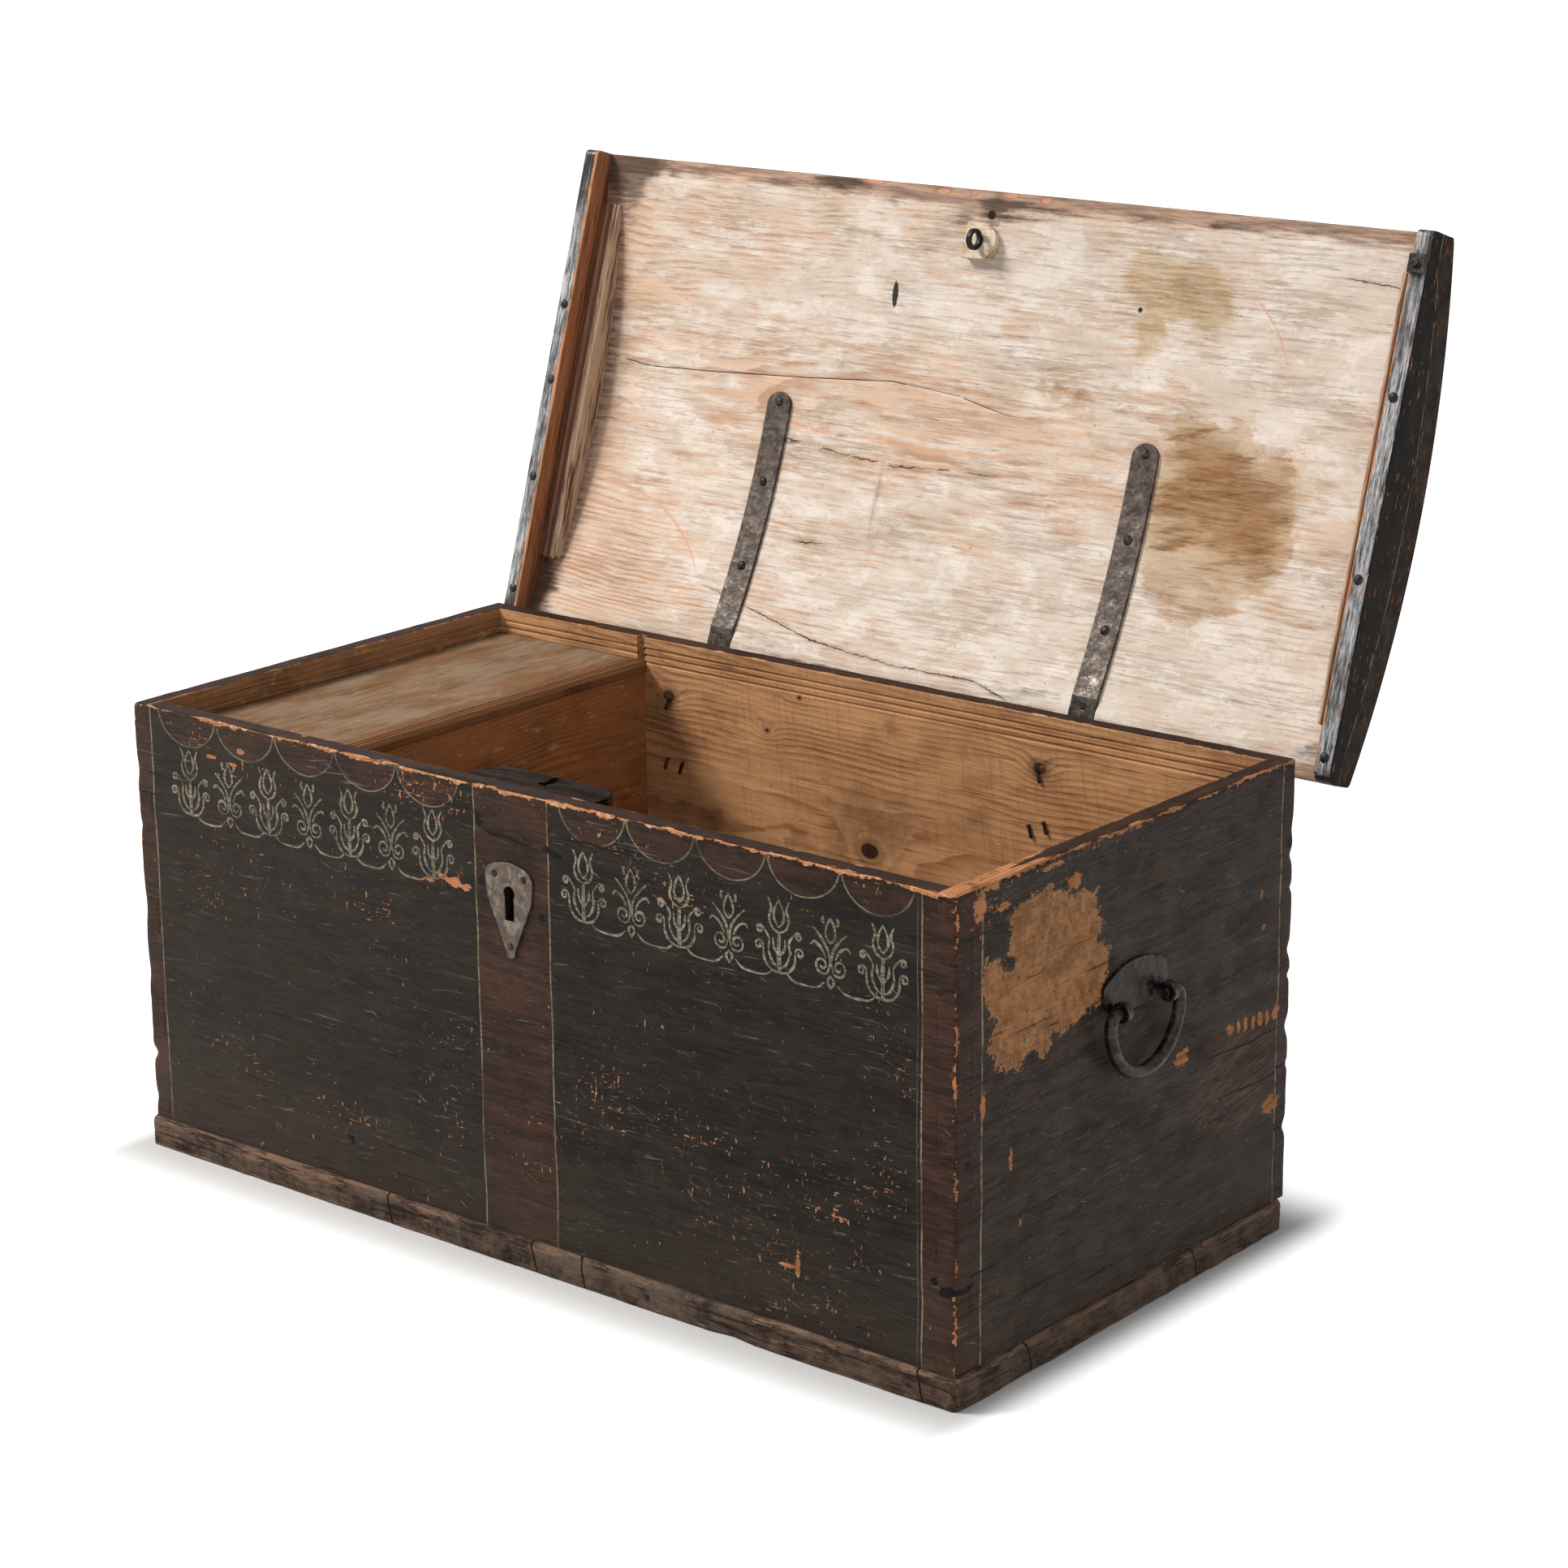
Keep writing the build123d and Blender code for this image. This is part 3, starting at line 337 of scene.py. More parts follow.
class Shade:
    """A material under construction, in millimetres. on_lid follows the lid as it was drawn, shut."""

    def __init__(self, name, on_lid=False):
        self.material = bpy.data.materials.new(name)
        self.material.use_nodes = True
        self.tree = self.material.node_tree
        self.tree.nodes.clear()
        if on_lid:
            drawn = self.tree.nodes.new("ShaderNodeAttribute")
            drawn.attribute_name = "drawn"
            place = drawn.outputs["Vector"]
        else:
            coordinates = self.tree.nodes.new("ShaderNodeTexCoord")
            scaled = self.tree.nodes.new("ShaderNodeVectorMath")
            scaled.operation = "SCALE"
            scaled.inputs["Scale"].default_value = 1 / MM
            self.tree.links.new(coordinates.outputs["Object"], scaled.inputs[0])
            place = scaled.outputs[0]
        self.place = Wire(self, place)
        split = self.tree.nodes.new("ShaderNodeSeparateXYZ")
        self.tree.links.new(place, split.inputs[0])
        self.x, self.y, self.z = (Wire(self, output) for output in split.outputs)

    def feed(self, socket, value):
        """Links a wire to an input, or sets the input to a plain value."""
        if isinstance(value, Wire):
            self.tree.links.new(value.socket, socket)
        else:
            socket.default_value = value

    def math(self, operation, *values):
        node = self.tree.nodes.new("ShaderNodeMath")
        node.operation = operation
        for socket, value in zip(node.inputs, values):
            self.feed(socket, value)
        return Wire(self, node.outputs[0])

    def most(self, first, *others):
        for other in others:
            first = self.math("MAXIMUM", first, other)
        return first

    def least(self, first, second):
        return self.math("MINIMUM", first, second)

    def size_of(self, value):
        return self.math("ABSOLUTE", value)

    def vector(self, x, y, z):
        node = self.tree.nodes.new("ShaderNodeCombineXYZ")
        for socket, value in zip(node.inputs, (x, y, z)):
            self.feed(socket, value)
        return Wire(self, node.outputs[0])

    def scaled(self, vector, factors):
        """A vector times fixed factors."""
        node = self.tree.nodes.new("ShaderNodeVectorMath")
        node.operation = "MULTIPLY"
        self.feed(node.inputs[0], vector)
        node.inputs[1].default_value = factors
        return Wire(self, node.outputs[0])

    def noise(self, size, detail=3.0, rough=0.55, stretch=(1, 1, 1), place=None, shift=0.0):
        """Noise from 0 to 1 whose largest features have this size. stretch lengthens it on an axis."""
        node = self.tree.nodes.new("ShaderNodeTexNoise")
        place = self.place if place is None else place
        factors = tuple(1 / (size * s) for s in stretch)
        moved = self.tree.nodes.new("ShaderNodeVectorMath")
        moved.operation = "MULTIPLY_ADD"
        self.feed(moved.inputs[0], place)
        moved.inputs[1].default_value = factors
        moved.inputs[2].default_value = (shift, shift * 0.7, -shift)
        self.tree.links.new(moved.outputs[0], node.inputs["Vector"])
        node.inputs["Scale"].default_value = 1.0
        node.inputs["Detail"].default_value = detail
        node.inputs["Roughness"].default_value = rough
        return Wire(self, node.outputs[0])

    def streaks(self, rates, detail, rough, shift=0.0, axes=None):
        """Noise drawn out along the axes. The rates say how fast it runs along each, per millimetre."""
        axes = axes or (self.x, self.y, self.z)
        place = self.vector(*(axis * rate if rate else 0.0 for axis, rate in zip(axes, rates)))
        return self.noise(1.0, detail, rough, place=place, shift=shift)

    def step(self, low, high, value):
        """Rises smoothly from 0 at low to 1 at high. With low above high it falls."""
        node = self.tree.nodes.new("ShaderNodeMapRange")
        node.interpolation_type = "SMOOTHSTEP"
        rising = low < high
        self.feed(node.inputs["Value"], value)
        node.inputs["From Min"].default_value = low if rising else high
        node.inputs["From Max"].default_value = high if rising else low
        node.inputs["To Min"].default_value = 0.0 if rising else 1.0
        node.inputs["To Max"].default_value = 1.0 if rising else 0.0
        return Wire(self, node.outputs["Result"])

    def mix(self, share, first, second, blend="MIX"):
        """A colour between first and second."""
        node = self.tree.nodes.new("ShaderNodeMix")
        node.data_type = "RGBA"
        node.blend_type = blend
        self.feed(node.inputs[0], share)
        self.feed(node.inputs[6], first)
        self.feed(node.inputs[7], second)
        return Wire(self, node.outputs[2])

    def blend(self, share, first, second):
        """A number between first and second."""
        node = self.tree.nodes.new("ShaderNodeMix")
        self.feed(node.inputs[0], share)
        self.feed(node.inputs[2], first)
        self.feed(node.inputs[3], second)
        return Wire(self, node.outputs[0])

    def field(self, name):
        """A value stored at the mesh's points."""
        node = self.tree.nodes.new("ShaderNodeAttribute")
        node.attribute_name = name
        return Wire(self, node.outputs["Fac"])

    def finish(self, color, roughness, height=None, metallic=0.0, specular=0.5):
        """Joins colour, roughness and relief, with heights in millimetres, into the surface."""
        shader = self.tree.nodes.new("ShaderNodeBsdfPrincipled")
        output = self.tree.nodes.new("ShaderNodeOutputMaterial")
        self.feed(shader.inputs["Base Color"], color)
        self.feed(shader.inputs["Roughness"], roughness)
        self.feed(shader.inputs["Metallic"], metallic)
        self.feed(shader.inputs["Specular IOR Level"], specular)
        if height is not None:
            bump = self.tree.nodes.new("ShaderNodeBump")
            bump.inputs["Distance"].default_value = MM
            self.feed(bump.inputs["Height"], height)
            self.tree.links.new(bump.outputs[0], shader.inputs["Normal"])
        self.tree.links.new(shader.outputs[0], output.inputs["Surface"])
        return self.material


# Wood and paint


def axes_of(s, along):
    """The coordinates along the grain, across the board's face and through it."""
    axes = {"x": (s.x, s.z, s.y), "y": (s.y, s.z, s.x), "flat": (s.x, s.y, s.z), "depth": (s.y, s.x, s.z)}
    return axes[along]


def pine(s, along, light, dark, ring=5.0, heart=120.0, heart_depth=45.0, knots=(), shift=0.0, contrast=0.42):
    """Sawn pine. Gives its colour, its relief in mm, and how dark each ring is.

    The board is cut from round growth rings whose heart lies beside it, so rings show as long arches."""
    u, v, w = axes_of(s, along)
    slow = s.vector(u * 0.0014, v * 0.003, w * 0.003)
    wander = s.noise(1.0, 2.0, 0.5, place=slow, shift=shift) - 0.5
    ripple = s.streaks((0.005, 0.015, 0.015), 3.0, 0.55, shift + 3, (u, v, w)) - 0.5
    side = v - heart + wander * 110.0
    deep = w * 0.35 + heart_depth + wander * 50.0
    radius = s.math("SQRT", side * side + deep * deep) + ripple * 16.0
    cores, halos = [], []
    for knot_u, knot_v, size in knots:
        near_u = (u - knot_u) / (size * 1.3)
        near_v = (v - knot_v) / size
        gap = near_u * near_u + near_v * near_v + ripple * 1.4
        radius = radius + (ring * 3.2) / (s.most(gap, 0.0) * 0.22 + 1.0)
        cores.append(s.step(0.80, 0.45, gap))
        halos.append(s.step(3.2, 0.8, gap))
    phase = s.math("FRACT", radius / ring + wander * 3.0)
    late = s.step(0.25, 0.93, phase) * s.step(1.0, 0.93, phase)
    fibre = s.streaks((0.014, 0.40, 0.40), 4.0, 0.65, shift + 7, (u, v, w))
    cloud = s.streaks((0.006, 0.02, 0.02), 3.0, 0.6, shift + 11, (u, v, w))
    clear = s.step(0.36, 0.62, s.streaks((0.005, 0.016, 0.0), 2.0, 0.5, shift + 5, (u, v, w)))
    tone = late * (clear * 0.75 + 0.25) * contrast + (fibre - 0.5) * 1.0 + (cloud - 0.5) * 0.9
    color = s.mix(tone + 0.27, light, dark)
    if knots:
        color = s.mix(s.most(*halos) * 0.5, color, rgb(84, 50, 28))
        color = s.mix(s.most(*cores) * 0.95, color, rgb(26, 16, 11))
    height = fibre * 0.12 + late * 0.10
    return color, height, late


def grime(s, color, amount=0.6, size=120.0, tone=(46, 33, 24), shift=0.0):
    """Old dirt in clouds and in small flecks."""
    cloud = s.step(0.45, 0.75, s.noise(size, 5.0, 0.65, shift=shift + 21))
    fleck = s.step(0.68, 0.74, s.noise(6.0, 2.0, 0.6, shift=shift + 25))
    return s.mix(s.most(cloud * amount, fleck * 0.5), color, rgb(*tone))


def paint_over(s, wood, wood_height, paint, bare, shift=0.0):
    """Paint with a thin broken edge round each bare place. bare runs from 0 on paint to 1 on wood."""
    edge = s.step(0.35, 0.75, bare)
    color = s.mix(edge, paint, wood)
    height = s.blend(edge, s.noise(2.5, 3.0, 0.6, shift=shift) * 0.05 + 0.28, wood_height)
    return color, height, edge


# Colours: two of each paint, and of the bare wood under it.
CREAM = rgb(163, 152, 122)
CHARCOAL = (rgb(12, 9, 8), rgb(38, 33, 28))
# The ends' charcoal is lighter than the front's: painted light, standing in for more lamp light on the end
# faces.
LIT_END_CHARCOAL = (rgb(22, 17, 14), rgb(66, 54, 45))
RED_BROWN = (rgb(30, 18, 13), rgb(67, 44, 35))
BARE = (rgb(204, 142, 96), rgb(122, 72, 41))

# Upright cream lines on the front, at X, and the two rows of scallops: where each starts, and their width.
FRONT_LINES = (-571.0, -53.0, 55.0, 557.0)
FRONT_LINE_HALF = 0.9
FAINT_LINE = 551.5
SCALLOP_DEPTH = 40.0
SCALLOPS = ((-557.0, 96.6), (71.0, 95.6))
SCALLOP_COUNT = 5


def worn_colour(s, first, second, along, shift=0.0):
    """A paint colour that shifts in streaks along the boards, broad and fine ones together."""
    u, v, w = axes_of(s, along)
    broad = s.streaks((0.006, 0.07, 0.07), 4.0, 0.6, shift, (u, v, w))
    fine = s.streaks((0.03, 0.34, 0.34), 4.0, 0.75, shift + 2, (u, v, w))
    cloud = s.noise(60.0, 5.0, 0.7, shift=shift + 5)
    return s.mix(s.step(0.42, 0.60, broad * 0.25 + fine * 0.45 + cloud * 0.3), first, second)


def bare_places(s, along, edge_gap, shift=0.0):
    """Where paint is gone: rubbed arrises, worn places, dashes along the grain and nicks across it."""
    u, v, w = axes_of(s, along)
    dash = s.streaks((0.075, 0.30, 0.30), 3.0, 0.6, shift + 2, (u, v, w))
    nick = s.streaks((0.26, 0.085, 0.085), 3.0, 0.6, shift + 27, (u, v, w))
    group = s.streaks((0.014, 0.025, 0.025), 4.0, 0.6, shift + 6, (u, v, w))
    chip = s.streaks((0.09, 0.16, 0.16), 5.0, 0.65, shift + 9, (u, v, w))
    run = s.noise(55.0, 3.0, 0.6, shift=shift + 19)
    rub = s.field("rub")
    edge = s.step(1.2, 0.0, edge_gap + 2.6 + (chip - 0.5) * 20.0 + (run - 0.5) * 16.0 - rub * 4.0)
    worn = s.least(s.field("wear"), 1.3) * 0.082 + (group - 0.5) * 0.24
    scattered = s.step(0.0, 0.02, dash - 0.740 + worn)
    nicks = s.step(0.0, 0.02, nick - 0.745 + worn)
    return s.most(edge, s.most(scattered, nicks))


def front_paint(s):
    """Front and back faces: two charcoal panels, red-brown bands and scallops, thin cream lines."""
    hand = (s.noise(70.0, 2.0, 0.5, shift=4) - 0.5) * 5.0
    x, z = s.x + hand, s.z + hand * 0.6
    field = worn_colour(s, *CHARCOAL, "x", 1.0)
    band = worn_colour(s, *RED_BROWN, "x", 6.0)

    def beyond(place, side):
        return s.step(place - side * 0.4, place + side * 0.4, x)

    left, lock_left, lock_right, right = FRONT_LINES
    in_band = s.most(beyond(left, -1), beyond(lock_left, 1) * beyond(lock_right, -1), beyond(right, 1))
    line = s.step(FRONT_LINE_HALF, 0.0, s.size_of(x - FAINT_LINE)) * 0.5
    for place in FRONT_LINES:
        line = s.most(line, s.step(FRONT_LINE_HALF + 0.5, FRONT_LINE_HALF - 0.5, s.size_of(x - place)))
    insides, strokes = [], []
    for start, width in SCALLOPS:
        end = start + width * SCALLOP_COUNT
        local = s.math("WRAP", x - start, width, 0.0)
        across = (local - width / 2) / (width / 2 - 1.0)
        down = (RIM_Z + 1.0 - z) / SCALLOP_DEPTH
        ring = s.math("SQRT", across * across + down * down)
        window = s.step(start, start + 0.5, x) * s.step(end, end - 0.5, x)
        insides.append(s.step(1.01, 0.99, ring) * window)
        strokes.append(s.step(1.5, 0.4, s.size_of(ring - 1.0) * (width / 2)) * window)
    brush = s.noise(45.0, 3.0, 0.6, shift=8)
    hairs = s.noise(5.0, 4.0, 0.7, stretch=(2, 2, 0.6), shift=5)
    rubbed = s.step(0.36, 0.56, brush) * s.step(0.66, 0.48, hairs)
    paint = s.mix(s.most(in_band, s.most(*insides) * 0.85), field, band)
    return s.mix(s.most(line * 0.72, s.most(*strokes) * 0.62) * (rubbed * 0.8 + 0.2), paint, CREAM)


def scratches(s, along, shift=0.0):
    """Fine pale scratches and rubbed streaks, most of them along the board."""
    u, v, w = axes_of(s, along)
    marks = []
    for tilt, thin, size in ((0.01, 0.30, 0.012), (-0.10, 0.24, 0.02), (0.45, 0.20, 0.03)):
        skew = s.vector(u * size, (v + u * tilt) * thin, w * thin)
        marks.append(s.step(0.66, 0.72, s.noise(1.0, 3.0, 0.6, place=skew, shift=shift + 31 + tilt * 40)))
    where = s.step(0.38, 0.62, s.noise(120.0, 3.0, 0.55, shift=shift + 33))
    return s.most(*marks) * (where * 0.8 + 0.2)


def near_marks(s, u, v, marks, ragged):
    """Ragged marks at given places. Each mark is u, v, half width and half height."""
    found = []
    for mark_u, mark_v, reach_u, reach_v in marks:
        across = (u - mark_u) / reach_u
        up = (v - mark_v) / reach_v
        found.append(s.step(1.3, 0.9, across * across + up * up + ragged))
    return s.most(*found)


def painted_board(name, along, paint_maker, edge_gap_maker, pits, flakes, shift=0.0):
    """A painted outer face with bare wood at its worn places, nail pits and lost flakes."""
    s = Shade(name)
    u, v, w = axes_of(s, along)
    wood, wood_height, _ = pine(s, along, *BARE, ring=3.2, shift=shift)
    paint = paint_maker(s)
    dust = s.step(0.40, 0.70, s.noise(50.0, 5.0, 0.75, stretch=(2, 2, 0.7), shift=shift + 17))
    low = s.step(190.0, 40.0, s.z) * 0.55
    # Paler towards the bottom with dust, and towards the left with painted light, as if more lamp light fell
    # there.
    left = s.step(300.0, -560.0, s.x) * 0.19
    paint = s.mix((dust * 0.22 + low * 0.6 + left) * 0.5, paint, rgb(92, 78, 66))
    paint = s.mix(scratches(s, along, shift) * 0.46, paint, rgb(138, 126, 112))
    speck = s.step(0.68, 0.73, s.noise(4.5, 3.0, 0.6, shift=shift + 37))
    paint = s.mix(speck * 0.6, paint, rgb(150, 128, 104))
    ragged = (s.streaks((0.10, 0.14, 0.14), 4.0, 0.7, shift + 41, (u, v, w)) - 0.5) * 7.0
    marked = s.step(0.0, -1.0, s.y) if along == "x" else s.step(0.0, 1.0, s.x)
    flaked = near_marks(s, u, v, flakes, ragged) * marked
    bare = s.most(bare_places(s, along, edge_gap_maker(s), shift), flaked)
    shade = s.step(0.4, 0.8, s.noise(18.0, 4.0, 0.6, shift=shift + 3))
    wood = s.mix(shade * 0.45, wood, rgb(96, 56, 32))
    # Paler flecks in the bare wood near the rim: rubbed wood that also paints the highlights along the
    # arris.
    if along == "x":
        pale = s.step(0.52, 0.62, s.noise(7.0, 4.0, 0.7, shift=shift + 43)) * s.step(45.0, 10.0, RIM_Z - s.z)
        wood = s.mix(pale * 0.6, wood, rgb(226, 190, 162))
    color, height, edge = paint_over(s, wood, wood_height, paint, bare, shift)
    grain = s.streaks((0.014, 0.36, 0.36), 4.0, 0.75, shift + 12, (u, v, w))
    check = s.step(0.61, 0.68, s.streaks((0.009, 0.20, 0.20), 4.0, 0.65, shift + 14, (u, v, w)))
    color = s.mix(check * 0.7, color, rgb(10, 7, 6))
    height = height + grain * 0.7 - check * 0.5
    crack_gap = s.size_of(s.field("crack") + (grain - 0.5) * 3.0)
    pitted = near_marks(s, u, v, pits, ragged) * marked
    crack = s.most(s.step(1.5, 0.4, crack_gap) * s.field("crack_mask"), pitted)
    color = s.mix(crack, color, rgb(12, 8, 7))
    height = height - crack * 1.4
    roughness = s.blend(edge, s.blend(dust, 0.44, 0.66), 0.75)
    return s.finish(color, roughness, height, specular=0.08)


def front_gap(s):
    """Distance from the front or back face's nearest edge, the foot left out."""
    return s.least(HALF_WIDTH - s.size_of(s.x), RIM_Z - s.z)


def end_gap(s):
    """The same for an end face."""
    return s.least(HALF_DEPTH - s.size_of(s.y), RIM_Z - s.z)


END_LINES = (-267.0, 285.0)


def end_paint(s):
    """End faces: a charcoal field between two upright cream lines, with red-brown borders."""
    hand = (s.noise(60.0, 2.0, 0.5, shift=14) - 0.5) * 5.0
    y = s.y + hand
    # Lighter charcoal than the front's: painted light on the end faces.
    field = worn_colour(s, *LIT_END_CHARCOAL, "y", 3.0)
    band = worn_colour(s, *RED_BROWN, "y", 8.0)
    wander = (s.noise(80.0, 3.0, 0.6, shift=21) - 0.5) * 120.0
    field = s.mix(s.step(170.0, 300.0, y + wander) * 0.45, field, band)
    scuff_y = (s.y - 205.0) / 100.0
    scuff_z = (s.z - 205.0) / 75.0
    scuffed = s.step(1.2, 0.2, scuff_y * scuff_y + scuff_z * scuff_z)
    rake = s.noise(1.0, 5.0, 0.75, place=s.vector(0.0, s.y * 0.02, s.z * 0.22 - s.y * 0.05), shift=23)
    right = s.step(0.0, 1.0, s.x)
    field = s.mix(scuffed * right * s.step(0.46, 0.60, rake) * 0.8, field, rgb(104, 72, 50))
    in_band = s.step(END_LINES[0] + 0.4, END_LINES[0] - 0.4, y)
    line = s.most(*(s.step(1.9, 0.7, s.size_of(y - place)) for place in END_LINES))
    rubbed = s.step(0.38, 0.55, s.noise(14.0, 3.0, 0.6, shift=15))
    paint = s.mix(in_band * 0.9, field, band)
    paint = s.mix(line * (rubbed * 0.65 + 0.15), paint, CREAM)
    ragged = (s.noise(11.0, 6.0, 0.8, stretch=(1, 1.4, 0.8), shift=16) - 0.5) * 60.0
    holes = s.step(0.60, 0.66, s.noise(10.0, 4.0, 0.7, stretch=(1, 0.7, 1.4), shift=22)) * 16.0
    torn = s.field("patch") + ragged + (s.noise(45.0, 2.0, 0.5, shift=17) - 0.5) * 14.0 - holes
    paper = s.mix(s.step(0.35, 0.66, s.noise(16.0, 5.0, 0.7, shift=18)), rgb(128, 86, 54), rgb(176, 126, 82))
    fibre = s.step(0.55, 0.66, s.noise(1.0, 4.0, 0.7, place=s.scaled(s.place, (0.2, 0.03, 0.3)), shift=20))
    paper = s.mix(fibre * 0.5, paper, rgb(98, 62, 38))
    paper = s.mix(s.step(0.59, 0.64, s.noise(8.0, 5.0, 0.7, shift=19)) * 0.75, paper, rgb(60, 40, 29))
    rim = s.step(0.0, 1.6, torn) * s.step(5.0, 1.6, torn)
    paper = s.mix(rim * 0.5, paper, rgb(190, 142, 98))
    return s.mix(s.step(-0.6, 0.8, torn), paint, paper)


def bare_board(name, along, light, dark, knots=(), heart=120.0, heart_depth=45.0, ring=5.0, shift=0.0,
               dirt=0.5):
    """Unpainted pine inside the chest, with knots, saw marks, scuffs and age."""
    s = Shade(name)
    u, v, w = axes_of(s, along)
    color, height, late = pine(s, along, light, dark, ring, heart, heart_depth, knots, shift)
    color = grime(s, color, dirt, 140.0, (70, 44, 26), shift)
    saw = s.noise(1.0, 3.0, 0.6, place=s.vector(u * 0.22 + v * 0.03, v * 0.012, w * 0.2), shift=shift + 13)
    color = s.mix(s.step(0.50, 0.68, saw) * 0.22, color, rgb(112, 70, 40))
    scuff = s.step(0.58, 0.68, s.streaks((0.03, 0.07, 0.07), 5.0, 0.7, shift + 15, (u, v, w)))
    color = s.mix(scuff * 0.35, color, rgb(214, 172, 126))
    smudge = s.step(0.50, 0.72, s.streaks((0.011, 0.02, 0.02), 5.0, 0.7, shift + 16, (u, v, w)))
    color = s.mix(smudge * 0.45, color, rgb(92, 58, 34))
    check = s.step(0.62, 0.69, s.streaks((0.008, 0.2, 0.2), 4.0, 0.65, shift + 14, (u, v, w)))
    color = s.mix(check * 0.55, color, rgb(50, 29, 17))
    height = height + saw * 0.14 - check * 0.3
    roughness = s.blend(late, 0.66, 0.5)
    return s.finish(color, roughness, height, specular=0.2)


def rim_wood(name, along):
    """Top of the rim: dark and greasy, rubbed to orange along both arrises."""
    s = Shade(name)
    wood, wood_height, _ = pine(s, along, *BARE, ring=3.0, shift=5.0)
    u, v, w = axes_of(s, along)
    across = 1 if along == "flat" else 0
    inner_gap = s.size_of(v) - INNER[across]
    outer_gap = OUTER[across] - s.size_of(v)
    chip = s.streaks((0.03, 0.20, 0.2), 5.0, 0.65, 6, (u, v, w))
    run = s.noise(70.0, 3.0, 0.6, shift=9)
    gap = s.least(outer_gap, inner_gap + 2.0)
    # On the long rims: paler flecks in the bare wood, partly painted highlights along the arris.
    if along == "flat":
        pale = s.step(0.52, 0.62, s.noise(7.0, 4.0, 0.7, shift=31))
        wood = s.mix(pale * 0.6, wood, rgb(226, 190, 162))
    else:
        gap = gap - s.step(-120.0, -230.0, s.y) * s.step(0.0, 1.0, s.x) * 12.0
    bare = s.step(3.0, 0.8, gap + (chip - 0.5) * 18.0 + (run - 0.5) * 14.0)
    paint = worn_colour(s, rgb(28, 17, 12), rgb(60, 38, 27), along, 2.0)
    color, height, edge = paint_over(s, wood, wood_height, paint, bare)
    color = s.mix(s.step(0.48, 0.66, s.noise(30.0, 4.0, 0.6, shift=7)) * 0.6, color, rgb(30, 19, 14))
    return s.finish(color, s.blend(edge, 0.6, 0.7), height * 1.3, specular=0.08)


def plinth_paint(name, along):
    """The plinth: thin dusty brown paint, scuffed along the top and split along the grain."""
    s = Shade(name)
    u, v, w = axes_of(s, along)
    wood, wood_height, _ = pine(s, along, rgb(128, 102, 84), rgb(82, 60, 46), ring=3.0, shift=9.0)
    paint = worn_colour(s, rgb(32, 22, 17), rgb(88, 68, 55), along, 11.0)
    scuff = s.streaks((0.016, 0.10, 0.10), 5.0, 0.72, 13, (u, v, w))
    dust = s.step(0.40, 0.66, s.noise(40.0, 5.0, 0.75, shift=12))
    paint = s.mix(dust * 0.5, paint, rgb(114, 99, 86))
    edges = s.most(s.step(25.0, 33.0, s.z), s.step(9.0, 2.0, s.z))
    # More bare wood towards the left: painted light, lighter where more lamp light falls.
    left = s.step(100.0, -600.0, s.x) * 0.05
    bare = s.step(0.57, 0.68, scuff + edges * 0.08 + left + s.field("wear") * 0.2)
    color, height, edge = paint_over(s, wood, wood_height, paint, bare)
    check = s.step(0.59, 0.66, s.streaks((0.007, 0.17, 0.17), 4.0, 0.65, 15, (u, v, w)))
    color = s.mix(check * 0.75, color, rgb(18, 13, 11))
    height = height * 1.6 + scuff * 1.2 - check * 0.9
    crack = s.step(1.6, 0.5, s.size_of(s.field("crack") + (scuff - 0.5) * 5.0)) * s.field("crack_mask")
    color = s.mix(crack, color, rgb(10, 7, 6))
    return s.finish(color, s.blend(edge, 0.6, 0.8), height - crack * 2.0, specular=0.1)


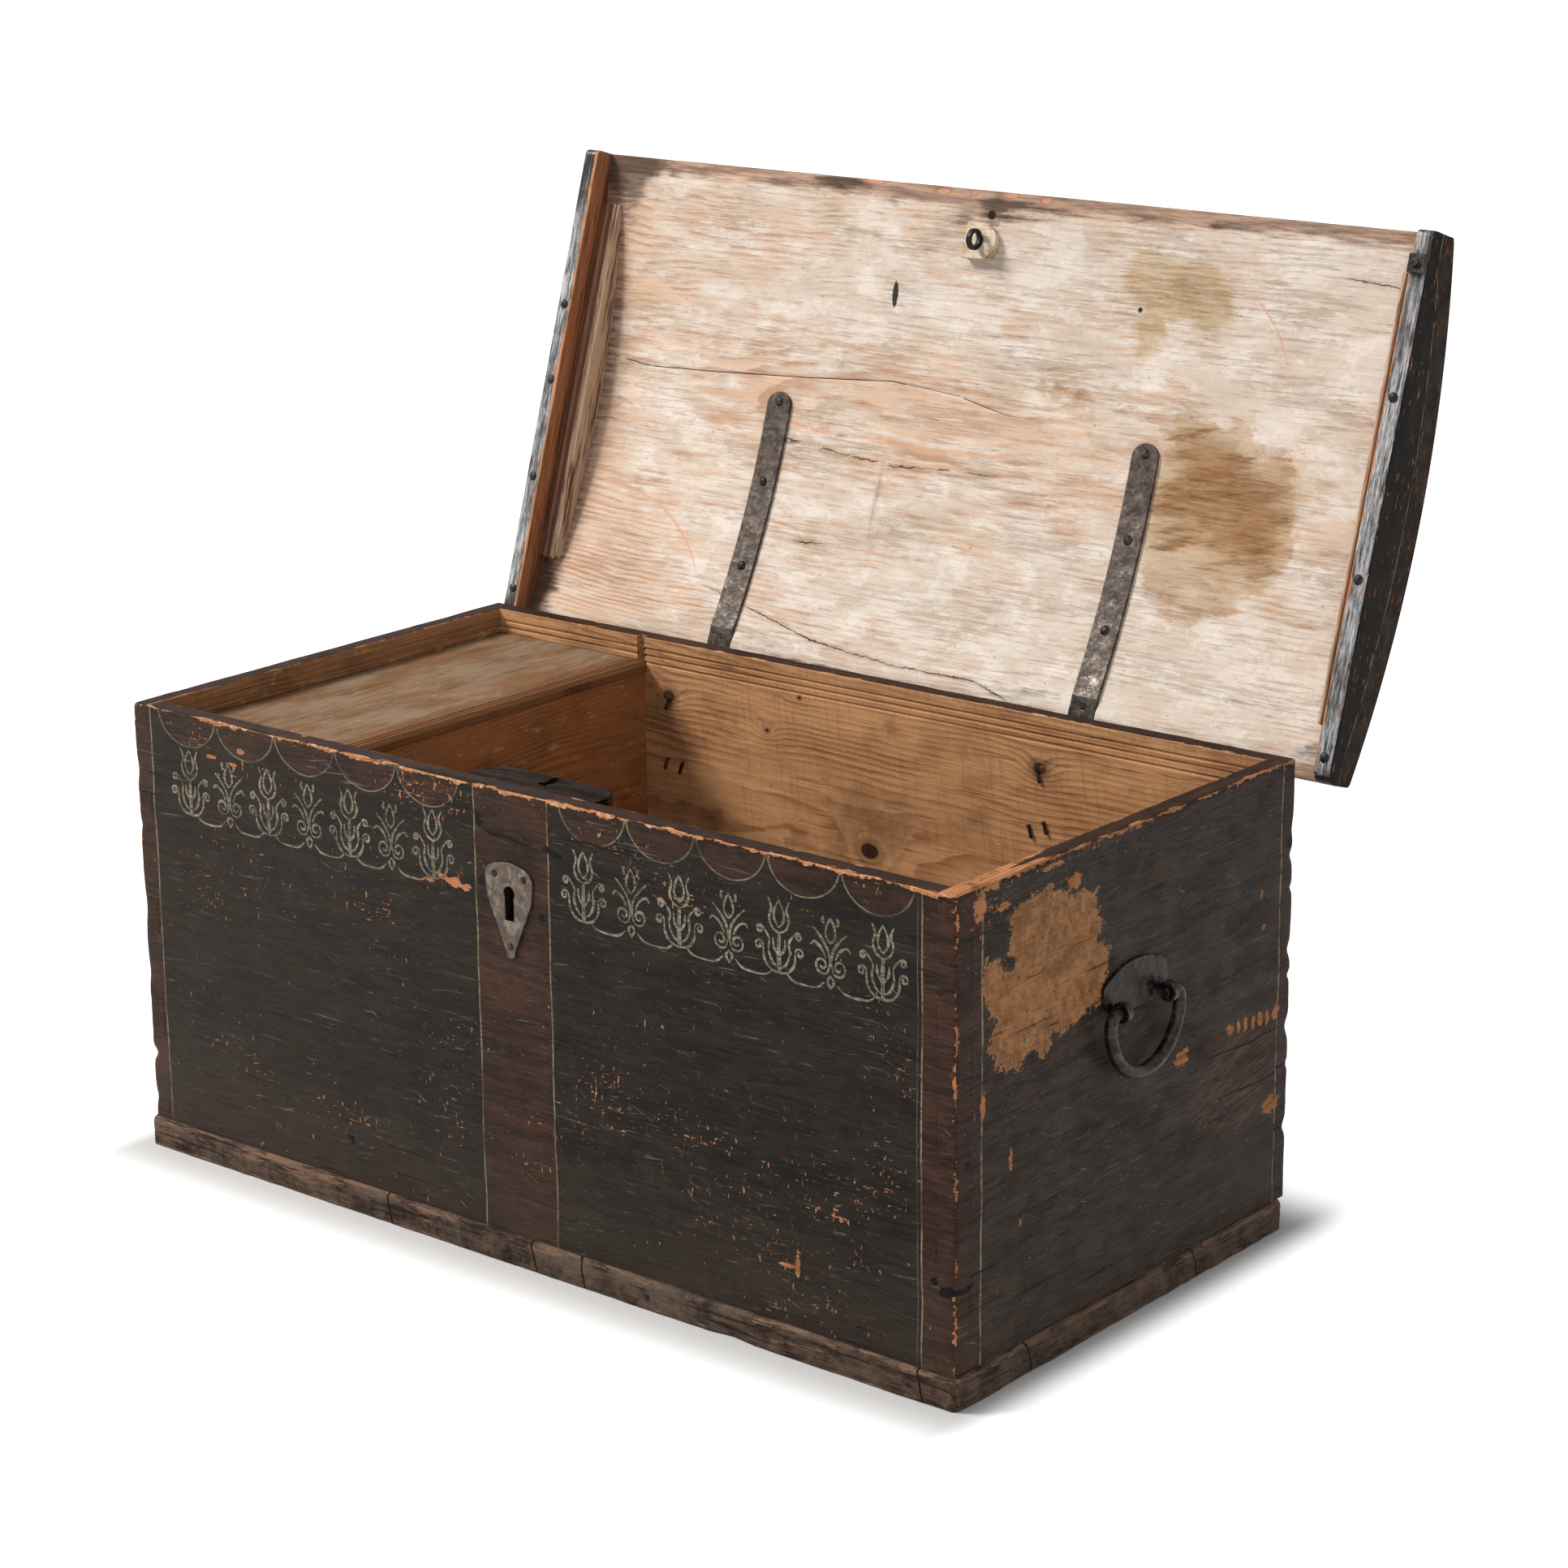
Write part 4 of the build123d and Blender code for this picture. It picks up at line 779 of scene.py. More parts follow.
def limewash(name):
    """Underside of the lid: thin limewash over pink pine, brown threads of grain, stains and cracks."""
    s = Shade(name, on_lid=True)
    wood, wood_height, _ = pine(
        s, "flat", rgb(220, 192, 168), rgb(182, 144, 118), 4.2, -20.0, -560.0, shift=2.0, contrast=0.9
    )
    x, y = s.x, s.y
    streak = s.streaks((0.012, 0.12, 0.0), 5.0, 0.72, 1)
    cloud = s.streaks((0.008, 0.018, 0.0), 6.0, 0.7, 4)
    wash = s.step(-0.15, 0.70, s.field("wash") + (cloud - 0.5) * 3.0 + (streak - 0.5) * 2.4)
    patchy = s.streaks((0.010, 0.02, 0.0), 6.0, 0.7, 44)
    lime = s.mix(s.step(0.38, 0.62, patchy), rgb(208, 196, 181), rgb(230, 223, 214))
    thick = s.step(0.53, 0.56, s.streaks((0.013, 0.022, 0.0), 6.0, 0.72, 45))
    lime = s.mix(thick * 0.45, lime, rgb(238, 233, 225))
    color = s.mix(wash * (thick * 0.10 + 0.74), wood, lime)
    ochre = s.step(0.2, 1.1, s.field("ochre") + (streak - 0.5) * 2.0)
    color = s.mix(ochre * 0.55, color, rgb(202, 150, 104))
    thread = s.streaks((0.014, 0.24, 0.0), 5.0, 0.72, 12)
    near_thread = s.streaks((0.006, 0.016, 0.0), 4.0, 0.6, 13)
    threads = s.step(0.52, 0.66, thread + (near_thread - 0.5) * 0.7)
    color = s.mix(threads * 0.42, color, rgb(160, 128, 102))
    short_thread = s.streaks((0.04, 0.30, 0.0), 4.0, 0.7, 17)
    dark_threads = s.step(0.62, 0.70, short_thread + (near_thread - 0.5) * 0.5)
    color = s.mix(dark_threads * 0.40, color, rgb(116, 86, 64))
    flake = s.step(0.57, 0.60, s.streaks((0.022, 0.06, 0.0), 6.0, 0.75, 27))
    color = s.mix(flake * 0.34, color, rgb(200, 168, 142))
    blur = (s.streaks((0.018, 0.04, 0.0), 6.0, 0.72, 8) - 0.5) * 90.0
    body = s.step(-9.0, 9.0, s.field("stain") + blur + (s.noise(30.0, 3.0, 0.6, shift=47) - 0.5) * 50.0)
    slanted = s.vector(x * 0.010 + y * 0.004, y * 0.05 + x * 0.012, 0.0)
    heavy = s.noise(1.0, 5.0, 0.7, place=slanted, shift=28)
    core = s.step(-8.0, 30.0, s.field("stain_core") + (streak - 0.5) * 80.0 + (heavy - 0.5) * 120.0)
    darkest = s.step(0.50, 0.60, heavy * 0.6 + streak * 0.4) * core
    color = s.mix(body * 0.80, color, rgb(220, 202, 176), "MULTIPLY")
    color = s.mix(core * 0.85, color, rgb(212, 190, 158), "MULTIPLY")
    color = s.mix(darkest * 0.7, color, rgb(196, 174, 148), "MULTIPLY")
    pale = s.step(-8.0, 8.0, s.field("pale_stain") + blur * 0.6)
    color = s.mix(pale * 0.85, color, rgb(226, 213, 184), "MULTIPLY")
    smear = s.step(0.35, 0.9, s.field("smear") + (s.noise(12.0, 4.0, 0.6, shift=9) - 0.5) * 0.9)
    color = s.mix(smear * 0.45, color, rgb(128, 116, 106))
    scrape = s.step(4.4, 0.8, s.size_of(s.field("scrape") + (cloud - 0.5) * 16.0)) * s.field("scrape_mask")
    broken = s.step(0.66, 0.50, s.noise(16.0, 4.0, 0.7, shift=46))
    color = s.mix(scrape * broken * 0.7, color, rgb(212, 160, 128))
    # Darker margins: worn wood at the front and rear edges, and at the ends dirt with painted shade beside
    # the strips.
    margin = s.step(0.25, 0.85, s.field("margin") + (streak - 0.5) * 1.8 + (cloud - 0.5) * 1.2)
    aged_and_shaded = s.mix(s.step(0.38, 0.62, streak), rgb(168, 132, 108), rgb(98, 68, 52))
    color = s.mix(margin * 0.82, color, aged_and_shaded)
    soot = s.step(0.35, 1.0, s.field("soot") + (cloud - 0.5) * 2.6 + (streak - 0.5) * 1.6)
    color = s.mix(soot * 0.8, color, rgb(62, 44, 34))
    gouged = s.step(0.30, 0.50, s.field("gouge") + (streak - 0.5) * 1.0)
    color = s.mix(gouged * 0.8, color, rgb(198, 148, 120))
    torn_edge = gouged * s.step(0.75, 0.45, s.field("gouge") + (streak - 0.5) * 1.0)
    color = s.mix(torn_edge * 0.5, color, rgb(96, 60, 44))
    fleck = s.step(0.68, 0.74, s.noise(6.0, 3.0, 0.6, stretch=(1.8, 1, 1), shift=15))
    color = s.mix(fleck * 0.5, color, rgb(124, 92, 70))
    grey = s.step(0.48, 0.72, s.noise(150.0, 5.0, 0.65, shift=18))
    color = s.mix(grey * 0.14, color, rgb(150, 138, 124))
    wobble = (s.noise(9.0, 4.0, 0.65, shift=14) - 0.5) * 7.0
    across = s.size_of(s.field("crack") + wobble)
    width = s.noise(26.0, 3.0, 0.6, shift=29) * 2.6
    crack = s.step(0.5, -0.3, across - width + 0.9) * s.field("crack_mask")
    halo = s.step(6.0, 0.0, across) * s.field("crack_mask")
    color = s.mix(halo * 0.35, color, rgb(150, 116, 90))
    color = s.mix(crack * 0.9, color, rgb(48, 32, 23))
    pits = near_marks(s, x, HALF_DEPTH - y, LID_PITS, wobble * 0.2)
    color = s.mix(pits * 0.95, color, rgb(30, 21, 16))
    height = wood_height + wash * 0.2 + streak * 0.5 - crack * 1.2 - threads * 0.25 - scrape * 0.15 - pits
    return s.finish(color, s.blend(wash, 0.6, 0.8), height, specular=0.12)


def lid_outside(name):
    """Top and edges of the lid: charcoal paint over planks, rubbed along the edges."""
    s = Shade(name, on_lid=True)
    wood, wood_height, _ = pine(s, "flat", *BARE, ring=3.4, shift=12.0)
    paint = worn_colour(s, *CHARCOAL, "flat", 21.0)
    border = worn_colour(s, *RED_BROWN, "flat", 22.0)
    gap = s.least(BATTEN_X[1] - s.size_of(s.x), s.least(s.y - LID_FRONT, HALF_DEPTH - s.y))
    paint = s.mix(s.step(44.0, 43.0, gap), paint, border)
    paint = s.mix(s.step(1.8, 0.8, s.size_of(gap - 43.5)) * 0.5, paint, CREAM)
    chip = s.streaks((0.05, 0.2, 0.2), 5.0, 0.65, 23)
    dash = s.streaks((0.03, 0.25, 0.25), 4.0, 0.62, 24)
    group = s.noise(90.0, 4.0, 0.6, shift=28) - 0.5
    rubbed = s.step(1.2, 0.0, gap + 2.4 + (chip - 0.5) * 24.0)
    bare = s.most(rubbed, s.step(0.0, 0.03, dash - 0.69 + group * 0.5))
    dust = s.step(0.40, 0.8, s.noise(50.0, 5.0, 0.75, shift=25))
    paint = s.mix(dust * 0.24, paint, rgb(104, 92, 80))
    paint = s.mix(scratches(s, "flat", 29.0) * 0.4, paint, rgb(138, 126, 112))
    check = s.step(0.61, 0.68, s.streaks((0.008, 0.2, 0.2), 4.0, 0.65, 30))
    paint = s.mix(check * 0.7, paint, rgb(10, 7, 6))
    color, height, edge = paint_over(s, wood, wood_height, paint, bare)
    grain = s.streaks((0.01, 0.8, 0.8), 4.0, 0.7, 26)
    return s.finish(color, s.blend(edge, 0.5, 0.72), height + grain * 0.15, specular=0.12)


def lid_end(name):
    """End grain of the lid's planks: charcoal paint with open pores, chips and orange dashes."""
    s = Shade(name, on_lid=True)
    paint = s.mix(s.step(0.35, 0.65, s.noise(30.0, 5.0, 0.7, shift=41)), rgb(30, 24, 21), rgb(62, 52, 45))
    pores = s.streaks((0.0, 0.08, 0.4), 4.0, 0.7, 43)
    dash = s.streaks((0.0, 0.05, 0.26), 4.0, 0.65, 44)
    bare = s.step(0.59, 0.63, dash)
    color = s.mix(bare * 0.8, paint, rgb(150, 92, 58))
    color = s.mix(s.step(0.56, 0.66, pores) * 0.6, color, rgb(18, 14, 12))
    return s.finish(color, 0.65, pores * 0.5 - bare * 0.2, specular=0.06)


def batten_paint_and_reflection(name, side):
    """An end batten: dark paint, with a pale grey painted along its underside in broken flecks, a painted
    reflection of its glossy paint. The left one is glossier.
    """
    s = Shade(name, on_lid=True)
    wood, wood_height, _ = pine(s, "y", *BARE, ring=3.0, shift=31.0)
    dark = worn_colour(s, rgb(26, 22, 21), rgb(56, 47, 43), "y", 32.0)
    # The pale grey stands in for the gloss reflecting a bright surround: a painted reflection.
    pale = worn_colour(s, rgb(84, 82, 84), rgb(200, 199, 201), "y", 33.0)
    rub = s.streaks((0.16, 0.016, 0.16), 5.0, 0.7, 34)
    under = s.step(BATTEN_BOTTOM + 5.0, BATTEN_BOTTOM + 1.0, s.z)
    ends = s.step(200.0, 275.0, s.size_of(s.y - 20.0) + (rub - 0.5) * 120.0)
    share = 0.60 if side > 0 else 0.50
    # Where the painted reflection lies: along the underside, broken up and fading towards the ends.
    rubbed = s.step(1.02 - share, 1.18 - share, rub + under * 0.38 - ends * 0.35) * under
    flecked = s.step(0.62, 0.46, s.streaks((0.3, 0.03, 0.0), 5.0, 0.75, 49))
    paint = s.mix(rubbed * (flecked * 0.7 + 0.2), dark, pale)
    arris = s.least(s.size_of(s.x) - BATTEN_X[0], BATTEN_X[1] - s.size_of(s.x))
    chip = s.streaks((0.25, 0.022, 0.25), 5.0, 0.65, 35)
    reach = 5.0 if side < 0 else 3.0
    inner_edge = s.step(reach, reach - 2.0, s.size_of(s.x) - BATTEN_X[0] + (chip - 0.5) * 14.0)
    bare = s.most(
        inner_edge * s.step(BATTEN_BOTTOM + 16.0, BATTEN_BOTTOM + 6.0, s.z),
        s.step(1.2, 0.0, arris + 0.8 + (chip - 0.5) * 12.0) * under,
    )
    color, height, edge = paint_over(s, wood, wood_height, paint, bare)
    check = s.step(0.58, 0.65, s.streaks((0.26, 0.02, 0.26), 4.0, 0.65, 36))
    color = s.mix(check * 0.85, color, rgb(16, 12, 11))
    roughness = s.blend(edge, 0.24 if side < 0 else 0.42, 0.7)
    return s.finish(color, roughness, height * 1.3 - check * 0.6, specular=0.4 if side < 0 else 0.2)


def batten_outside(name):
    """Outer face of a batten: charcoal with a cream line just under the planks."""
    s = Shade(name, on_lid=True)
    wood, wood_height, _ = pine(s, "y", *BARE, ring=3.0, shift=37.0)
    paint = worn_colour(s, *CHARCOAL, "y", 38.0)
    chip = s.streaks((0.2, 0.05, 0.2), 5.0, 0.65, 39)
    line = s.step(1.5, 0.5, s.size_of(s.field("joint") + (chip - 0.5) * 1.5 - 4.0))
    paint = s.mix(line * s.step(0.40, 0.58, chip) * 0.6, paint, CREAM)
    low = s.z - BATTEN_BOTTOM
    dash = s.streaks((0.0, 0.04, 0.25), 4.0, 0.65, 40)
    bare = s.most(s.step(2.0, 0.0, low + 1.0 + (chip - 0.5) * 14.0), s.step(0.62, 0.65, dash))
    color, height, edge = paint_over(s, wood, wood_height, paint, bare)
    return s.finish(color, s.blend(edge, 0.6, 0.7), height, specular=0.06)


def batten_inside(name):
    """Inner face of a batten: bare orange pine, darker in its cracks, and darkened towards the planks with
    painted shade in the corner they make.
    """
    s = Shade(name, on_lid=True)
    wood, wood_height, _ = pine(s, "y", rgb(178, 116, 74), rgb(112, 66, 38), ring=3.0, shift=91.0)
    streak = s.streaks((0.2, 0.014, 0.22), 5.0, 0.7, 92)
    color = s.mix(s.step(0.46, 0.62, streak) * 0.7, wood, rgb(76, 44, 28))
    # Painted shade in the corner under the planks.
    color = s.mix(s.step(LID_BASE - 9.0, LID_BASE, s.z) * 0.55, color, rgb(48, 28, 19))
    return s.finish(color, 0.55, wood_height * 1.5 + streak * 0.5, specular=0.35)


def strip_wood(name):
    """The moulded strips beside the battens: orange pine, grooves darkened with painted shade, and a pale,
    chalky inner edge.
    """
    s = Shade(name, on_lid=True)
    wood, wood_height, _ = pine(s, "y", rgb(158, 106, 70), rgb(92, 56, 36), ring=3.0, shift=45.0)
    across = s.size_of(s.x)
    wander = (s.streaks((0.0, 0.02, 0.0), 4.0, 0.65, 48) - 0.5) * 5.0
    streak = s.streaks((0.3, 0.012, 0.2), 4.0, 0.68, 46)
    color = s.mix(s.step(0.45, 0.68, streak) * 0.75, wood, rgb(70, 42, 28))
    # Dark lines along the quirk and beside the cove: painted shade in the grooves.
    quirk = s.step(2.6, 0.6, s.size_of(across - 587.0 + wander * 0.4))
    groove = quirk + s.step(2.2, 0.4, s.size_of(across - 598.5))
    color = s.mix(groove * 0.75, color, rgb(40, 24, 17))
    edge = s.step(584.0, 581.5, across + wander) * s.step(0.60, 0.48, streak)
    color = s.mix(edge * 0.7, color, rgb(204, 180, 154))
    return s.finish(color, 0.5, wood_height * 1.6 + streak * 0.3, specular=0.35)


def chalk_wood(name):
    """The catch's block: limewashed, with dirt in its cracks and along its edges."""
    s = Shade(name, on_lid=True)
    wood, wood_height, _ = pine(
        s, "flat", rgb(206, 182, 154), rgb(150, 118, 92), 3.0, 20.0, 90.0, shift=81.0
    )
    color = s.mix(s.step(0.35, 0.6, s.noise(14.0, 5.0, 0.7, shift=82)) * 0.8, wood, rgb(226, 212, 190))
    dirt = s.step(0.54, 0.66, s.noise(9.0, 5.0, 0.72, stretch=(1.6, 1, 1), shift=83))
    color = s.mix(dirt * 0.7, color, rgb(96, 72, 54))
    return s.finish(color, 0.75, wood_height * 2.0 - dirt * 0.4, specular=0.2)


def till_lid_wood(name):
    """The till's lid: pine gone grey on top, browner towards its moulded nosing."""
    s = Shade(name)
    wood, wood_height, _ = pine(
        s, "depth", rgb(132, 97, 65), rgb(70, 46, 29), ring=5.5, heart=-455.0, heart_depth=-180.0, shift=51.0
    )
    grey = s.step(0.38, 0.62, s.streaks((0.02, 0.008, 0.0), 5.0, 0.68, 52))
    nose = s.step(-376.0, -346.0, s.x + (s.noise(40.0, 3.0, 0.6, shift=53) - 0.5) * 50.0)
    color = s.mix(grey * 0.55 * (1.0 - nose), wood, rgb(146, 128, 108))
    color = s.mix(nose * 0.55, color, rgb(112, 70, 38))
    streak = s.streaks((0.16, 0.010, 0.0), 5.0, 0.72, 54)
    color = s.mix(s.step(0.54, 0.66, streak) * 0.65, color, rgb(54, 36, 24))
    scuff = s.step(0.62, 0.68, s.streaks((0.12, 0.03, 0.0), 5.0, 0.72, 55))
    color = s.mix(scuff * 0.5 * (1.0 - nose), color, rgb(196, 178, 152))
    return s.finish(color, 0.68, wood_height * 1.6 + streak * 0.4, specular=0.1)


def lock_wood(name):
    """The lock's cover: dark stained wood, split and rubbed at its edges."""
    s = Shade(name)
    wood, wood_height, _ = pine(s, "x", rgb(128, 80, 48), rgb(70, 42, 27), ring=3.0, shift=61.0)
    stain = worn_colour(s, rgb(20, 14, 12), rgb(46, 31, 24), "x", 62.0)
    chip = s.streaks((0.04, 0.2, 0.2), 5.0, 0.65, 63)
    color, height, edge = paint_over(s, wood, wood_height, stain, s.step(0.63, 0.70, chip))
    split = s.step(0.56, 0.62, s.streaks((0.01, 0.2, 0.2), 4.0, 0.65, 64))
    color = s.mix(split * 0.8, color, rgb(8, 6, 5))
    return s.finish(color, s.blend(edge, 0.6, 0.7), height * 1.4 - split * 0.8, specular=0.06)


def iron(name, tone=(36, 32, 30), pale=(88, 82, 77), rust=(76, 48, 34), pale_share=0.5, rust_share=0.4,
         shift=0.0):
    """Forged iron: dark scale, rubbed grey high spots, rust in patches and small pits."""
    s = Shade(name)
    scale = s.noise(11.0, 6.0, 0.68, shift=shift)
    color = s.mix(s.step(0.35, 0.7, scale), rgb(*(0.6 * c for c in tone)), rgb(*tone))
    rubbed = s.step(0.47, 0.66, s.noise(16.0, 6.0, 0.72, shift=shift + 1.5))
    color = s.mix(rubbed * pale_share, color, rgb(*pale))
    rusty = s.step(0.50, 0.64, s.noise(14.0, 5.0, 0.7, shift=shift + 4))
    color = s.mix(rusty * rust_share, color, rgb(*rust))
    pit = s.step(0.64, 0.72, s.noise(1.6, 2.0, 0.5, shift=shift + 6))
    color = s.mix(pit * 0.6, color, rgb(24, 20, 18))
    height = s.noise(5.0, 4.0, 0.6, shift=shift + 8) * 0.35 - pit * 0.15
    roughness = s.blend(rusty, s.blend(rubbed, 0.42, 0.32), 0.78)
    metallic = s.blend(rusty, 0.75, 0.1)
    return s.finish(color, roughness, height, metallic, 0.5)


def cream_paint(name):
    """Thin cream brush strokes, worn through to the charcoal below."""
    s = Shade(name)
    under = worn_colour(s, *CHARCOAL, "x", 1.0)
    worn = s.step(0.42, 0.58, s.noise(6.0, 5.0, 0.72, stretch=(1.6, 1.6, 0.5), shift=3))
    faded = s.step(0.34, 0.60, s.noise(70.0, 2.0, 0.5, shift=5))
    tone = s.mix(s.noise(5.0, 3.0, 0.6, shift=7), rgb(178, 168, 144), rgb(140, 132, 112))
    color = s.mix((1.0 - worn * 0.75) * (faded * 0.35 + 0.50), under, tone)
    return s.finish(color, 0.6, s.noise(2.0, 3.0, 0.6) * 0.08, specular=0.18)


# Knots inside the back board: X, Z and radius.
BACK_KNOTS = (
    (-291.0, 480.0, 9.0), (272.0, 486.0, 9.0), (24.0, 340.0, 12.0), (-134.0, 463.0, 3.5),
    (-83.0, 512.0, 3.0),
)
# Nail pits and places where a whole flake of paint is lost: along, up, half width and half height.
FRONT_PITS = (
    (-46, 509, 5, 7), (-44, 439, 4, 6), (56, 494, 9, 4), (68, 490, 6, 3), (44, 414, 4, 4),
    (-10, 497, 22, 2), (588, 128, 9, 5), (574, 136, 4, 4), (-265, 88, 5, 3), (-262, 82, 4, 2),
)
FRONT_FLAKES = (
    (-86, 431, 12, 5), (-104, 434, 8, 3), (-70, 428, 7, 4), (-122, 426, 6, 2), (-420, 521, 6, 3),
    (-470, 506, 7, 2), (395, 108, 3, 14), (380, 102, 12, 2), (-436, 503, 8, 2), (240, 476, 6, 2),
    (214, 470, 4, 2),
)
END_PITS = ((300, 455, 6, 6), (-292, 262, 4, 5), (-296, 128, 14, 3), (296, 196, 12, 2), (297, 122, 10, 2))
END_FLAKES = (
    (-109, 516, 11, 8), (93, 264, 13, 9), (275, 156, 16, 10), (190, 269, 7, 6), (206, 268, 3, 8),
    (220, 266, 4, 7), (236, 266, 3, 8), (250, 264, 5, 8), (264, 263, 4, 8), (281, 262, 6, 9),
    (247, 410, 2, 4), (252, 371, 3, 3), (-217, 244, 3, 12), (-199, 170, 2, 4), (-265, 317, 4, 13),
    (-272, 530, 10, 14), (-250, 546, 14, 4), (-232, 520, 10, 4), (-150, 541, 18, 3),
)
LID_PITS = ((-125, 484, 4, 15), (12, 589, 5, 5), (234, 499, 3, 3))

FRONT_FACE = painted_board("front_paint", "x", front_paint, front_gap, FRONT_PITS, FRONT_FLAKES, 0.0)
END_FACE = painted_board("end_paint", "y", end_paint, end_gap, END_PITS, END_FLAKES, 2.0)
INSIDE_LONG = bare_board(
    "inside_long", "x", rgb(206, 156, 110), rgb(108, 66, 37), BACK_KNOTS, 330.0, -246.0, 6.0, shift=71.0
)
INSIDE_END = bare_board(
    "inside_end", "y", rgb(163, 118, 80), rgb(76, 47, 29), (), 420.0, 170.0, 5.5, shift=73.0
)
TILL_WOOD = bare_board(
    "till_wood", "y", rgb(164, 108, 66), rgb(92, 54, 28), (), 380.0, 80.0, 6.0, shift=75.0
)
FLOOR_WOOD = bare_board("floor_wood", "flat", rgb(160, 116, 76), rgb(104, 68, 42), shift=77.0, dirt=0.8)
HIDDEN_WOOD = bare_board(
    "hidden_wood", "x", rgb(150, 110, 74), rgb(104, 70, 44), ring=4.0, shift=79.0, dirt=0.8
)
RIM_LONG = rim_wood("rim_long", "flat")
RIM_END = rim_wood("rim_end", "depth")
PLINTH_LONG = plinth_paint("plinth_long", "x")
PLINTH_END = plinth_paint("plinth_end", "y")
LIMEWASH = limewash("limewash")
LID_OUTSIDE = lid_outside("lid_outside")
LID_END = lid_end("lid_end")
BATTEN_OUTSIDE = batten_outside("batten_outside")
BATTEN_INSIDE = batten_inside("batten_inside")
STRIP_WOOD = strip_wood("strip_wood")
BLOCK_WOOD = chalk_wood("block_wood")
TILL_LID_WOOD = till_lid_wood("till_lid_wood")
LOCK_WOOD = lock_wood("lock_wood")
IRON = iron("iron", shift=1.0)
STRAP_IRON = iron("strap_iron", (72, 64, 58), (130, 117, 106), (104, 76, 58), 0.45, 0.45, shift=3.0)
PLATE_IRON = iron("plate_iron", (26, 22, 20), (62, 46, 37), (86, 52, 36), 0.35, 0.45, shift=5.0)
ESCUTCHEON_IRON = iron("escutcheon_iron", (98, 86, 76), (148, 134, 118), (104, 74, 57), 0.5, 0.45, shift=9.0)
CREAM_PAINT = cream_paint("cream_paint")


# Case boards

# Where paint wears thin: place along the face, height, half width, half height and strength.
FRONT_WEAR = (
    (-110, 180, 60, 70, 1.0), (85, 200, 70, 60, 0.9), (150, 235, 70, 30, 0.9), (290, 200, 130, 50, 0.9),
    (390, 135, 110, 50, 0.8), (260, 90, 170, 35, 0.6), (520, 260, 30, 80, 0.9), (541, 346, 20, 60, 0.8),
    (-282, 105, 90, 60, 1.0), (-441, 148, 70, 50, 0.8), (-110, 428, 60, 16, 1.4),
    (-125, 512, 60, 26, 1.8), (-445, 370, 110, 60, 0.9), (-490, 525, 60, 16, 1.3),
    (-395, 500, 60, 20, 1.2), (0, 120, 45, 60, 0.6), (-60, 478, 20, 50, 0.7), (480, 420, 60, 30, 0.9),
    (150, 300, 100, 40, 0.5), (-220, 380, 90, 40, 1.0), (-500, 270, 60, 120, 0.6),
    (240, 475, 80, 14, 0.9), (500, 385, 50, 12, 0.8), (-180, 280, 110, 60, 0.6), (150, 515, 90, 22, 1.0),
    (380, 500, 120, 16, 0.8), (-300, 440, 200, 16, 0.5), (180, 390, 90, 60, 0.6), (460, 210, 60, 60, 0.8),
    (430, 60, 90, 30, 0.9), (-170, 60, 60, 30, 0.8), (340, 300, 120, 60, 0.5),
)
END_WEAR = (
    (-258, 537, 28, 16, 3.0), (-285, 512, 30, 45, 2.0), (-160, 547, 90, 6, 2.0), (265, 300, 20, 120, 0.5),
    (-290, 250, 18, 160, 0.9), (278, 150, 40, 40, 0.6), (180, 190, 90, 60, 0.6), (272, 50, 20, 12, 0.8),
    (0, 180, 200, 60, 0.2), (-60, 90, 120, 25, 0.5), (-200, 90, 60, 40, 0.6), (-120, 515, 30, 18, 1.0),
    (-150, 300, 60, 60, 0.4),
)
# Stretches of the upright corners that are rubbed bare: height, half length and strength.
CORNER_RUB = (
    (505, 22, 0.8), (445, 10, 0.5), (400, 26, 0.9), (345, 30, 0.8), (290, 12, 0.5), (245, 22, 0.8),
    (165, 20, 0.7), (120, 9, 0.6), (85, 24, 1.0),
)
# Stretches of the front rim that are rubbed bare: place along it, half length and strength.
RIM_RUB = (
    (-560, 30, 0.4), (-455, 40, 0.7), (-330, 60, 0.5), (-210, 40, 0.8), (-110, 50, 1.1), (0, 40, 0.7),
    (110, 60, 0.9), (230, 40, 0.6), (340, 50, 0.7), (460, 60, 0.6), (570, 30, 1.1),
)
# Outline of the torn paper patch on the right end: Y and Z.
PATCH = [
    (-177, 520), (-153, 520), (-142, 510), (-92, 500), (-70, 496), (-72, 480), (-57, 456), (-65, 443),
    (-50, 426), (-49, 403), (-55, 388), (-51, 370), (-90, 366), (-121, 357), (-148, 364), (-154, 344),
    (-165, 340), (-178, 355), (-192, 360), (-198, 336), (-227, 344), (-248, 358), (-256, 380),
    (-240, 399), (-253, 413), (-266, 436), (-262, 467), (-245, 470), (-236, 454), (-218, 445),
    (-211, 458), (-226, 476), (-216, 488), (-220, 503),
]
FRONT_CRACKS = (
    ((-600, 470), (-520, 466), (-470, 467)),
    ((60, 508), (110, 512), (180, 509)),
    ((555, 447), (580, 446), (600, 448)),
    ((-53, 500), (-10, 497), (30, 492), (56, 489)),
    ((560, 128), (587, 121), (600, 124)),
)
END_CRACKS = (
    ((-310, 136), (-280, 140), (-230, 138)),
    ((170, 196), (240, 190), (310, 192)),
    ((120, 250), (220, 243), (310, 246)),
)
